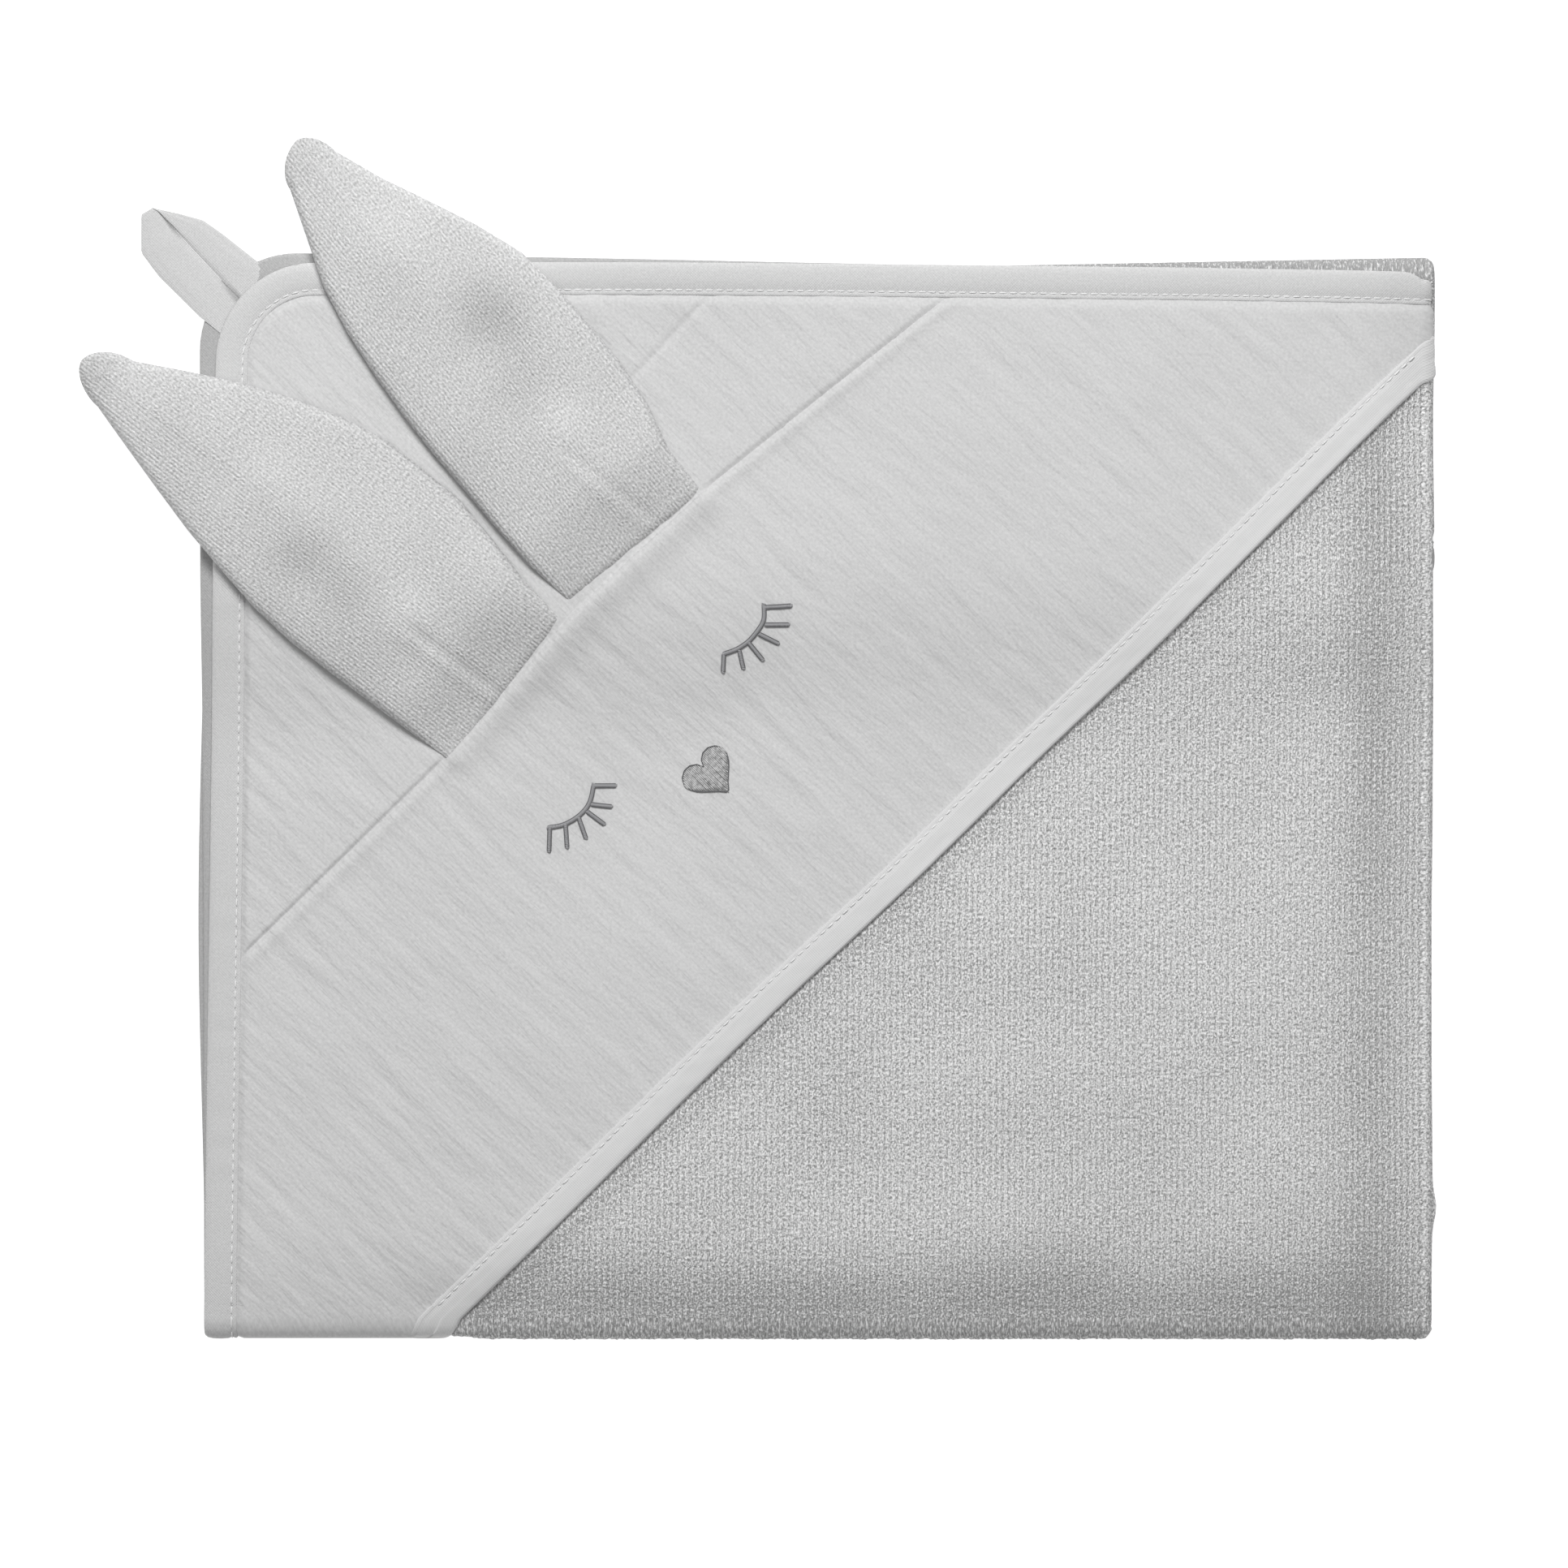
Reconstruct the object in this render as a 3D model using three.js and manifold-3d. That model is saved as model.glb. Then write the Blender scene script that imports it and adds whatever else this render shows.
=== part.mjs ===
// A hooded baby towel, folded flat: a square of terry bound in tape, a triangular
// hood sewn over one corner, two floppy ears caught in the hood's seam, two sewn
// sleeping eyes, a heart nose and a hanging loop.
//
// Millimetres, +Z up. The origin is the middle of the face that lies on the table.
// +X runs to the crosswise fold's rounded side, +Y to the top edge of the pile.
//
// The square is folded in half about its right side, so the left half (L) lies over
// the right half (R). It is then folded under about the near edge, and the strip
// that is left over is tucked in at the far edge. The pile, from the table up:
// L2, R2, then R3 and L3 in the tucked strip only, then R1 and L1 with the hood.

import * as THREE from "three";
import { mergeVertices } from "three/addons/utils/BufferGeometryUtils.js";
import Module from "manifold-3d";

const wasm = await Module();
wasm.setup();

// ---------- driving dimensions ----------

const PILE_WIDTH = 376.4; // bound left edge to the rounded crosswise fold
const PILE_DEPTH = 331; // outside of the near fold to outside of the far fold
const PILE_SHIFT_X = -0.7; // the pile's middle, from the origin
const PILE_SHIFT_Y = 0.5;
const FRONT_SETBACK_LEFT = 2.4; // the top layers' bound edge, in from the lower one
const FRONT_SETBACK_FAR = 3; // the top layers' far edge, in from the far fold
const TUCKED_STRIP = 90; // depth of the strip tucked in at the far edge
const TOWEL_CORNER = 30; // radius of the bound corners

const TERRY = 3.0; // one terry layer, pressed by the pile
const LAYER_GAP = 0.3; // air between two layers
const CLEARANCE = 0.3; // between two pieces that touch
const TAPE = 0.5; // binding tape
const TAPE_WIDTH = 10; // finished width of the edge binding

const HOOD_LEG = 402; // hood corner to hood tip, along the towel's edge
const HOOD_DEPTH = 128.3; // hood opening to the ear seam
const HOOD_CLOTH = 1.0; // crinkled double muslin
const HOOD_TAPE_WIDTH = 9.5; // binding of the hood opening
const HOOD_TAPE = 1.6; // folded tape and cloth inside it

const EAR_LAYER = 2.8; // one puffed side of an ear
const UPPER_EAR = { length: 159, width: 61, base: 52, lean: 5.1, offset: 32.2 };
const LOWER_EAR = { length: 162, width: 66, base: 54, lean: -7.0, offset: -27.2 };

const THREAD = 0.6; // height of the embroidery
const STITCH_WIDTH = 2.2;
const EYE_RADIUS = 16.5;
const EYE_OFFSET = 37.1; // each eye, from the hood's line of symmetry
const EYE_DROP = 25.1; // eyes, down from the seam
const NOSE_DROP = 60.8; // nose, down from the seam
const LASH_LENGTH = 7.5;
const LASHES = 6;
const HEART_WIDTH = 15;

const LOOP_LENGTH = 42;
const LOOP_STRAND = 11.6; // width of the loop's folded tape
const LOOP_SLIT = 0.8;
const LOOP_THICKNESS = 1.6;
const LOOP_PIVOT = 1.2; // hinge line, out from the corner's edge
const LOOP_ROOT = 0.5; // start of the loop, out from the corner's edge

const FOLD_END_GAP = 0.5; // between the near fold and the layers it joins
const WELD = 0.05; // overlap of shapes joined into one piece
const REACH = 700; // longer than anything it cuts
const ARC_STEPS = 10; // facets of each half turn of cloth

// ---------- what follows from them ----------

const LAYER = TERRY + LAYER_GAP;
const PAIR = 2 * LAYER;
const FOLD_Z = PAIR - LAYER_GAP / 2;
const HALF_GAP = LAYER_GAP / 2;
const PILE_RIGHT = PILE_SHIFT_X + PILE_WIDTH / 2;
const BACK_LEFT = PILE_SHIFT_X - PILE_WIDTH / 2;
const FRONT_LEFT = BACK_LEFT + FRONT_SETBACK_LEFT;
const BACK_TOP = PILE_SHIFT_Y + PILE_DEPTH / 2;
const PILE_NEAR = PILE_SHIFT_Y - PILE_DEPTH / 2;
const FRONT_TOP = BACK_TOP - FRONT_SETBACK_FAR;
const BEND_OUTSIDE = PAIR - HALF_GAP; // radius of the outer terry layer's bend
const HOOD_INSIDE = CLEARANCE; // hood cloth, up from the terry
const HOOD_OUTSIDE = HOOD_INSIDE + HOOD_CLOTH;
const HOOD_BEND = HALF_GAP + TERRY + HOOD_OUTSIDE;
const FOLD_Y = PILE_NEAR + BEND_OUTSIDE + HOOD_OUTSIDE - CLEARANCE;
const BACK_BEND_Y = BACK_TOP - BEND_OUTSIDE;
const FRONT_BEND_X = PILE_RIGHT - HOOD_BEND;
const BACK_BEND_X = PILE_RIGHT - HALF_GAP - TERRY;
const FRONT_MID = FOLD_Z + LAYER; // height between the two top layers
const FRONT_SURFACE = FRONT_MID + HALF_GAP + TERRY;
const HOOD_SURFACE = FRONT_SURFACE + HOOD_OUTSIDE;
const STRIP_EDGE = BACK_BEND_Y - TUCKED_STRIP;
const TILT = Math.atan(PAIR / (STRIP_EDGE - FOLD_Y)); // top layers lie over the strip
const TAPE_INSET = TAPE + CLEARANCE;

// Lines across the hood run at 45 degrees; each is named by its y - x.
const HOOD_CORNER_LINE = FRONT_TOP - FRONT_LEFT;
const OPENING_LINE = HOOD_CORNER_LINE - HOOD_LEG;
const OPENING_INNER_LINE = OPENING_LINE + HOOD_TAPE_WIDTH * Math.SQRT2;
const SEAM_LINE = OPENING_LINE + HOOD_DEPTH * Math.SQRT2;
const HALF_SEAM_GAP = (CLEARANCE / 2) * Math.SQRT2;

// ---------- solids ----------

function toSolid(geometry) {
  const bare = geometry.clone();
  bare.deleteAttribute("normal");
  bare.deleteAttribute("uv");
  const welded = mergeVertices(bare, 1e-5);
  return new wasm.Manifold(
    new wasm.Mesh({
      numProp: 3,
      vertProperties: new Float32Array(welded.attributes.position.array),
      triVerts: new Uint32Array(welded.index.array),
    }),
  );
}

function toGeometry(solid) {
  const mesh = solid.getMesh();
  const geometry = new THREE.BufferGeometry();
  geometry.setAttribute("position", new THREE.BufferAttribute(mesh.vertProperties, 3));
  geometry.setIndex(new THREE.BufferAttribute(mesh.triVerts, 1));
  geometry.computeVertexNormals();
  return geometry;
}

function join(...solids) {
  return solids.reduce((all, next) => all.add(next));
}

function polygon(points) {
  return new THREE.Shape(points.map(([x, y]) => new THREE.Vector2(x, y)));
}

// A plan outline, standing between two heights.
function prism(shape, low, high) {
  const geometry = new THREE.ExtrudeGeometry(shape, {
    depth: high - low,
    bevelEnabled: false,
    curveSegments: ARC_STEPS,
  });
  geometry.translate(0, 0, low);
  return toSolid(geometry);
}

function block(x0, x1, y0, y1, z0, z1) {
  return prism(polygon([[x0, y0], [x1, y0], [x1, y1], [x0, y1]]), z0, z1);
}

// Two flat layers joined by a half turn at the right: everything that lies between
// the inner and outer distance from the pair's middle plane.
function hairpin(left, bendX, middle, inner, outer, near, far) {
  const shape = new THREE.Shape();
  shape.moveTo(left, middle + outer);
  shape.lineTo(left, middle + inner);
  shape.lineTo(bendX, middle + inner);
  shape.absarc(bendX, middle, inner, Math.PI / 2, -Math.PI / 2, true);
  shape.lineTo(left, middle - inner);
  shape.lineTo(left, middle - outer);
  shape.lineTo(bendX, middle - outer);
  shape.absarc(bendX, middle, outer, -Math.PI / 2, Math.PI / 2, false);
  shape.closePath();
  const geometry = new THREE.ExtrudeGeometry(shape, {
    depth: far - near,
    bevelEnabled: false,
    curveSegments: ARC_STEPS,
  });
  geometry.rotateX(Math.PI / 2);
  geometry.translate(0, far, 0);
  return toSolid(geometry);
}

// A half turn of cloth about a crosswise line, bulging to the near or the far side.
function halfTurn(left, right, axisY, axisZ, inner, outer, bulge) {
  const from = bulge < 0 ? Math.PI / 2 : -Math.PI / 2;
  const to = from + Math.PI;
  const shape = new THREE.Shape();
  shape.absarc(axisY, axisZ, outer, from, to, false);
  if (inner > 0) {
    shape.absarc(axisY, axisZ, inner, to, from, true);
  }
  shape.closePath();
  const geometry = new THREE.ExtrudeGeometry(shape, {
    depth: right - left,
    bevelEnabled: false,
    curveSegments: ARC_STEPS,
  });
  const turn = new THREE.Matrix4().makeBasis(
    new THREE.Vector3(0, 1, 0),
    new THREE.Vector3(0, 0, 1),
    new THREE.Vector3(1, 0, 0),
  );
  geometry.applyMatrix4(turn);
  geometry.translate(left, 0, 0);
  return toSolid(geometry);
}

// The strip between two lines across the hood.
function acrossHood(lowLine, highLine, low, high) {
  const corners = [
    [-REACH, -REACH + lowLine],
    [REACH, REACH + lowLine],
    [REACH, REACH + highLine],
    [-REACH, -REACH + highLine],
  ];
  return prism(polygon(corners), low, high);
}

// ---------- the top layers and their binding ----------

function frontOutline(inset) {
  const radius = TOWEL_CORNER - inset;
  const left = FRONT_LEFT + inset;
  const top = FRONT_TOP - inset;
  const right = PILE_RIGHT + TAPE_WIDTH;
  const shape = new THREE.Shape();
  shape.moveTo(left, FOLD_Y);
  shape.lineTo(right, FOLD_Y);
  shape.lineTo(right, top);
  shape.lineTo(left + radius, top);
  shape.absarc(left + radius, top - radius, radius, Math.PI / 2, Math.PI, false);
  shape.closePath();
  return prism(shape, 0, FRONT_MID + REACH);
}

function frontLayers(margin) {
  const inner = HALF_GAP + margin;
  const outer = HALF_GAP + TERRY - margin;
  return hairpin(FRONT_LEFT, FRONT_BEND_X, FRONT_MID, inner, outer, FOLD_Y, FRONT_TOP);
}

function terryFront() {
  const body = frontLayers(0).intersect(frontOutline(TAPE_WIDTH + CLEARANCE));
  const border = frontLayers(TAPE_INSET).intersect(frontOutline(TAPE_INSET));
  return join(body, border);
}

function bindingFront() {
  const band = frontLayers(0).intersect(frontOutline(0).subtract(frontOutline(TAPE_WIDTH)));
  return band.subtract(frontLayers(TAPE).intersect(frontOutline(TAPE)));
}

// ---------- the lower layers, the tucked strip and their binding ----------

function backOutline(inset) {
  const left = BACK_LEFT + inset;
  const right = PILE_RIGHT + TAPE_WIDTH;
  const lower = block(left, right, FOLD_Y, BACK_TOP + 1, -1, FOLD_Z + WELD);
  const radius = TOWEL_CORNER - inset;
  const edge = STRIP_EDGE + inset;
  const shape = new THREE.Shape();
  shape.moveTo(right, edge);
  shape.lineTo(right, BACK_TOP + 1);
  shape.lineTo(left, BACK_TOP + 1);
  shape.lineTo(left, edge + radius);
  shape.absarc(left + radius, edge + radius, radius, Math.PI, 1.5 * Math.PI, false);
  shape.closePath();
  return join(lower, prism(shape, FOLD_Z, FOLD_Z + PAIR + 1));
}

function backLayers(margin) {
  const inner = HALF_GAP + margin;
  const outer = HALF_GAP + TERRY - margin;
  const far = BACK_BEND_Y + WELD;
  const lowMiddle = HALF_GAP + TERRY;
  const highMiddle = lowMiddle + PAIR;
  return join(
    hairpin(BACK_LEFT, BACK_BEND_X, lowMiddle, inner, outer, FOLD_Y, far),
    hairpin(BACK_LEFT, BACK_BEND_X, highMiddle, inner, outer, STRIP_EDGE, far),
    halfTurn(BACK_LEFT, PILE_RIGHT, BACK_BEND_Y, FOLD_Z, inner, outer, 1),
    halfTurn(BACK_LEFT, PILE_RIGHT, BACK_BEND_Y, FOLD_Z, inner + LAYER, outer + LAYER, 1),
  );
}

function terryBack() {
  const body = backLayers(0).intersect(backOutline(TAPE_WIDTH + CLEARANCE));
  const border = backLayers(TAPE_INSET).intersect(backOutline(TAPE_INSET));
  const foldSide = halfTurn(PILE_RIGHT - TERRY, PILE_RIGHT, BACK_BEND_Y, FOLD_Z, 0, BEND_OUTSIDE, 1);
  return join(body, border, foldSide).subtract(hoodTailRecess());
}

function bindingBack() {
  const band = backLayers(0).intersect(backOutline(0).subtract(backOutline(TAPE_WIDTH)));
  return band.subtract(backLayers(TAPE).intersect(backOutline(TAPE)));
}

// ---------- the near fold: cloth that bends when the towel is opened ----------

const FOLD_LEFT = (FRONT_LEFT + BACK_LEFT) / 2;
const FOLD_RIGHT = FRONT_BEND_X + HALF_GAP + TERRY;

function foldLayer(inset, inner, outer) {
  const turn = halfTurn(FOLD_LEFT + inset, FOLD_RIGHT, FOLD_Y, FOLD_Z, inner, outer, -1);
  const room = block(-REACH, REACH, -REACH, FOLD_Y - FOLD_END_GAP, -REACH, REACH);
  return turn.intersect(room);
}

function foldBorder(inset, layer, margin) {
  const inner = HALF_GAP + layer * LAYER + margin;
  const outer = HALF_GAP + layer * LAYER + TERRY - margin;
  return foldLayer(inset, inner, outer);
}

function terryNearFold() {
  const side = foldLayer(FOLD_RIGHT - FOLD_LEFT - TERRY, 0, BEND_OUTSIDE);
  const parts = [side];
  for (const layer of [0, 1]) {
    parts.push(foldBorder(TAPE_WIDTH + CLEARANCE, layer, 0));
    parts.push(foldBorder(TAPE_INSET, layer, TAPE_INSET));
  }
  return join(...parts).subtract(hoodNearFold(CLEARANCE));
}

function bindingNearFold(layer) {
  const right = block(FOLD_LEFT + TAPE_WIDTH, REACH, -REACH, REACH, -REACH, REACH);
  return foldBorder(0, layer, 0).subtract(right).subtract(foldBorder(TAPE, layer, TAPE));
}

// The hood follows the near fold from the top face round to the face on the table,
// where it lies let into the terry. Its opening edge runs on at 45 degrees.
const TURN_TOP = BEND_OUTSIDE + HOOD_INSIDE;
const TURN_LENGTH = Math.PI * (BEND_OUTSIDE + HOOD_CLOTH / 2);
const HOOD_EDGE = FOLD_LEFT + TAPE_WIDTH + CLEARANCE;

function turnedBand(lineStart, lineEnd, thickness, grow) {
  const box = new THREE.BoxGeometry(1, 1, 1, 1, 2 * ARC_STEPS, 1);
  const place = box.attributes.position;
  const startAngle = FOLD_END_GAP / TURN_TOP;
  for (let i = 0; i < place.count; i += 1) {
    const share = 0.5 - place.getY(i);
    const angle = THREE.MathUtils.lerp(startAngle, Math.PI - startAngle, share);
    const along = (angle / Math.PI) * TURN_LENGTH;
    const side = place.getX(i) < 0 ? lineStart(along) - grow : lineEnd(along) + grow;
    const sink = HOOD_OUTSIDE * share;
    const lift = place.getZ(i) < 0 ? -grow : thickness + grow;
    const radius = TURN_TOP + lift - sink;
    const y = FOLD_Y - radius * Math.sin(angle);
    const z = FOLD_Z + radius * Math.cos(angle);
    place.setXYZ(i, side, y, z);
  }
  return toSolid(box);
}

function openingAt(line) {
  return (along) => FOLD_Y - along - line;
}

function hoodNearFold(grow) {
  const panel = openingAt(OPENING_INNER_LINE + HALF_SEAM_GAP);
  if (grow === 0) {
    return turnedBand(() => HOOD_EDGE, panel, HOOD_CLOTH, 0);
  }
  return turnedBand(() => HOOD_EDGE, openingAt(OPENING_LINE), HOOD_CLOTH, grow);
}

function openingTapeNearFold() {
  const inner = openingAt(OPENING_INNER_LINE - HALF_SEAM_GAP);
  return turnedBand(inner, openingAt(OPENING_LINE), HOOD_CLOTH, 0);
}

// ---------- the hood ----------

const TAIL_NEAR = FOLD_Y + FOLD_END_GAP;
// On the underside the hood's lines run the other way: x + y is constant.
const TAIL_SHIFT = 2 * FOLD_Y - TURN_LENGTH;

function tailStrip(lowLine, highLine, low, high) {
  const corners = [
    [-REACH, TAIL_SHIFT - highLine + REACH],
    [-REACH, TAIL_SHIFT - lowLine + REACH],
    [REACH, TAIL_SHIFT - lowLine - REACH],
    [REACH, TAIL_SHIFT - highLine - REACH],
  ];
  return prism(polygon(corners), low, high);
}

function tailRoom(inset) {
  const left = BACK_LEFT + TAPE_WIDTH + CLEARANCE + inset;
  return block(left, REACH, TAIL_NEAR, REACH, -REACH, REACH);
}

function hoodTailRecess() {
  const top = HOOD_CLOTH + CLEARANCE;
  const left = BACK_LEFT + TAPE_WIDTH;
  const room = block(left, REACH, FOLD_Y - 1, REACH, -REACH, REACH);
  return tailStrip(OPENING_LINE - CLEARANCE * Math.SQRT2, REACH, -1, top).intersect(room);
}

function hoodFaceTail() {
  const strip = tailStrip(OPENING_INNER_LINE + HALF_SEAM_GAP, REACH, 0, HOOD_CLOTH);
  return strip.intersect(tailRoom(0));
}

function openingTapeTail() {
  const strip = tailStrip(OPENING_LINE, OPENING_INNER_LINE - HALF_SEAM_GAP, 0, HOOD_CLOTH);
  return strip.intersect(tailRoom(0));
}

function hoodSkin(thickness) {
  const inner = HALF_GAP + TERRY + HOOD_INSIDE;
  const outer = inner + thickness;
  const around = hairpin(FRONT_LEFT, FRONT_BEND_X, FRONT_MID, inner, outer, FOLD_Y, FRONT_TOP);
  const above = block(-REACH, REACH, -REACH, REACH, FRONT_MID, FRONT_MID + REACH);
  return around.intersect(above).intersect(frontOutline(TAPE_WIDTH + CLEARANCE));
}

function hoodPiece(lowLine, highLine, thickness) {
  return hoodSkin(thickness).intersect(acrossHood(lowLine, highLine, 0, FRONT_MID + REACH));
}

// ---------- ears ----------

// Outline in the ear's own frame: the seam along X, the tip towards +Y. The sides
// swell from the gathered base to the widest place and run in to a blunt tip.
function earOutline(ear) {
  const half = ear.width / 2;
  const base = ear.base / 2;
  const tilt = Math.tan(THREE.MathUtils.degToRad(ear.lean));
  const long = ear.length;
  const lean = (x, y) => new THREE.Vector2(x + y * tilt, y);
  const side = [
    [base, CLEARANCE],
    [half, 0.32 * long],
    [0.92 * half, 0.6 * long],
    [0.55 * half, 0.83 * long],
    [0.2 * half, 0.975 * long],
  ];
  const right = side.map(([x, y]) => lean(x, y));
  const left = side.map(([x, y]) => lean(-x, y)).reverse();
  const shape = new THREE.Shape();
  shape.moveTo(right[0].x, right[0].y);
  shape.splineThru(right.slice(1));
  shape.splineThru([lean(0, long), ...left]);
  shape.closePath();
  return shape;
}

function earLayer(ear, low) {
  const geometry = new THREE.ExtrudeGeometry(earOutline(ear), {
    depth: EAR_LAYER,
    bevelEnabled: false,
    curveSegments: ARC_STEPS,
  });
  geometry.translate(0, 0, low);
  return toSolid(geometry);
}

// A place on the hood: its offset from the hood's line of symmetry, which runs
// through the towel's corner, and how far it lies down from the seam.
function onHood(offset, drop, z) {
  const along = (FRONT_LEFT + FRONT_TOP) / Math.SQRT2 + offset;
  const across = SEAM_LINE / Math.SQRT2 - drop;
  return new THREE.Vector3((along - across) / Math.SQRT2, (along + across) / Math.SQRT2, z);
}

// ---------- embroidery ----------

function stroke(ax, ay, bx, by, width) {
  const angle = Math.atan2(by - ay, bx - ax);
  const shape = new THREE.Shape();
  shape.absarc(ax, ay, width / 2, angle + Math.PI / 2, angle + 1.5 * Math.PI, false);
  shape.absarc(bx, by, width / 2, angle - Math.PI / 2, angle + Math.PI / 2, false);
  shape.closePath();
  return prism(shape, 0, THREAD);
}

// A closed eye: a lid line with lashes fanned below it, drawn about its own centre.
function closedEye() {
  const parts = [];
  const lid = new THREE.Shape();
  const half = STITCH_WIDTH / 2;
  lid.absarc(0, 0, EYE_RADIUS + half, -0.5 * Math.PI, 0.06 * Math.PI, false);
  lid.absarc(0, 0, EYE_RADIUS - half, 0.06 * Math.PI, -0.5 * Math.PI, true);
  lid.closePath();
  parts.push(prism(lid, 0, THREAD));
  for (let i = 0; i < LASHES; i += 1) {
    const angle = THREE.MathUtils.lerp(-0.5 * Math.PI, 0.04 * Math.PI, i / (LASHES - 1));
    const near = EYE_RADIUS - half / 2;
    const far = EYE_RADIUS + LASH_LENGTH;
    const c = Math.cos(angle);
    const s = Math.sin(angle);
    parts.push(stroke(near * c, near * s, far * c, far * s, 0.7 * STITCH_WIDTH));
  }
  return join(...parts);
}

// A heart with its point towards the lower right, as the face looks that way.
function heart() {
  const w = HEART_WIDTH / 2;
  const shape = new THREE.Shape();
  shape.moveTo(0, 0.45 * w);
  shape.bezierCurveTo(0.3 * w, 1.1 * w, w, 1.05 * w, w, 0.35 * w);
  shape.bezierCurveTo(w, -0.25 * w, 0.35 * w, -0.6 * w, 0, -w);
  shape.bezierCurveTo(-0.35 * w, -0.6 * w, -w, -0.25 * w, -w, 0.35 * w);
  shape.bezierCurveTo(-w, 1.05 * w, -0.3 * w, 1.1 * w, 0, 0.45 * w);
  return prism(shape, 0, THREAD);
}

// ---------- hanging loop ----------

// One tape folded over at the far end, its two strands side by side; the hinge
// line runs along X and the loop points towards +Y.
function loopTape() {
  const half = LOOP_STRAND + LOOP_SLIT / 2;
  const root = LOOP_ROOT - LOOP_PIVOT;
  const end = LOOP_LENGTH;
  const outline = [
    [-half, root],
    [-LOOP_SLIT / 2, root],
    [-LOOP_SLIT / 2, end - LOOP_STRAND],
    [LOOP_SLIT / 2, end - LOOP_STRAND],
    [LOOP_SLIT / 2, root],
    [half, root],
    [half, end - 0.7 * LOOP_STRAND],
    [0.45 * half, end],
    [-0.45 * half, end],
    [-half, end - 0.7 * LOOP_STRAND],
  ];
  return prism(polygon(outline), -LOOP_THICKNESS / 2, LOOP_THICKNESS / 2);
}

// ---------- assembly ----------

const towel = new THREE.Group();
const palette = {
  terry: { color: "#bfc0bf", roughness: 0.95 },
  muslin: { color: "#cccdcc", roughness: 0.9 },
  tape: { color: "#dedede", roughness: 0.8 },
  thread: { color: "#808080", roughness: 0.6 },
};

function addPiece(group, name, solid, kind) {
  const material = new THREE.MeshStandardMaterial({ ...palette[kind], metalness: 0 });
  const piece = new THREE.Mesh(toGeometry(solid), material);
  piece.name = name;
  group.add(piece);
  return piece;
}

addPiece(towel, "terry_back", terryBack(), "terry");
addPiece(towel, "edge_binding_back", bindingBack(), "tape");
addPiece(towel, "hood_face_tail", hoodFaceTail(), "muslin");
addPiece(towel, "hood_opening_tape_tail", openingTapeTail(), "tape");
addPiece(towel, "terry_near_fold", terryNearFold(), "terry");
addPiece(towel, "edge_binding_near_fold_inner", bindingNearFold(0), "tape");
addPiece(towel, "edge_binding_near_fold_outer", bindingNearFold(1), "tape");
addPiece(towel, "hood_face_near_fold", hoodNearFold(0), "muslin");
addPiece(towel, "hood_opening_tape_near_fold", openingTapeNearFold(), "tape");

// The top layers turn about the near fold and lie tilted over the tucked strip.
const front = new THREE.Group();
front.position.set(0, FOLD_Y, FOLD_Z);
front.rotation.x = TILT;
const frontFlat = new THREE.Group();
frontFlat.position.set(0, -FOLD_Y, -FOLD_Z);
front.add(frontFlat);
towel.add(front);

addPiece(frontFlat, "terry_front", terryFront(), "terry");
addPiece(frontFlat, "edge_binding_front", bindingFront(), "tape");
const faceLow = OPENING_INNER_LINE + HALF_SEAM_GAP;
const tapeHigh = OPENING_INNER_LINE - HALF_SEAM_GAP;
const rearLow = SEAM_LINE + HALF_SEAM_GAP;
addPiece(frontFlat, "hood_rear_panel", hoodPiece(rearLow, REACH, HOOD_CLOTH), "muslin");
addPiece(frontFlat, "hood_face_panel", hoodPiece(faceLow, SEAM_LINE - HALF_SEAM_GAP, HOOD_CLOTH), "muslin");
addPiece(frontFlat, "hood_opening_tape", hoodPiece(OPENING_LINE, tapeHigh, HOOD_TAPE), "tape");

const FACE_HEIGHT = HOOD_SURFACE + CLEARANCE;
const EAR_MIDDLE = FACE_HEIGHT + EAR_LAYER + LAYER_GAP / 2;
for (const [name, ear] of [["ear_upper", UPPER_EAR], ["ear_lower", LOWER_EAR]]) {
  const place = new THREE.Group();
  place.position.copy(onHood(ear.offset, -CLEARANCE, EAR_MIDDLE));
  place.rotation.z = Math.PI / 4;
  frontFlat.add(place);
  addPiece(place, `${name}_lining`, earLayer(ear, -EAR_LAYER - LAYER_GAP / 2), "terry");
  addPiece(place, `${name}_outer`, earLayer(ear, LAYER_GAP / 2), "terry");
}

for (const [name, offset] of [["eye_upper", EYE_OFFSET], ["eye_lower", -EYE_OFFSET]]) {
  const eye = addPiece(frontFlat, name, closedEye(), "thread");
  eye.position.copy(onHood(offset, EYE_DROP, FACE_HEIGHT));
}
const nose = addPiece(frontFlat, "heart_nose", heart(), "thread");
nose.position.copy(onHood(0, NOSE_DROP, FACE_HEIGHT));
nose.rotation.z = Math.PI / 4;

// The loop is sewn behind the bound corner of the hood.
const cornerOut = TOWEL_CORNER / Math.SQRT2 + LOOP_PIVOT / Math.SQRT2;
const loop = new THREE.Group();
loop.position.set(
  FRONT_LEFT + TOWEL_CORNER - cornerOut,
  FRONT_TOP - TOWEL_CORNER + cornerOut,
  FRONT_MID,
);
loop.rotation.z = Math.PI / 4;
frontFlat.add(loop);
addPiece(loop, "hanging_loop", loopTape(), "tape");

export default towel;
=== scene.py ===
# %% [markdown]
# # A hooded baby towel, folded flat
# The towel is one square of looped terry, bound all round in bias tape. A triangle of
# crinkled muslin is sewn over one corner as a hood, with two ears caught in its seam, two
# sleeping eyes and a heart sewn in thread, and a loop to hang it by. It is folded in half,
# then folded under, and the strip that is left is tucked in.
#
# Every piece of cloth is drawn in flat pattern coordinates, as a dressmaker would cut it,
# and one function folds the pattern into the pile. So tape, hood, stitches and terry all
# meet where they were sewn, on the top, round the folds and underneath.

# %% Load the frame
import math

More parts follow.
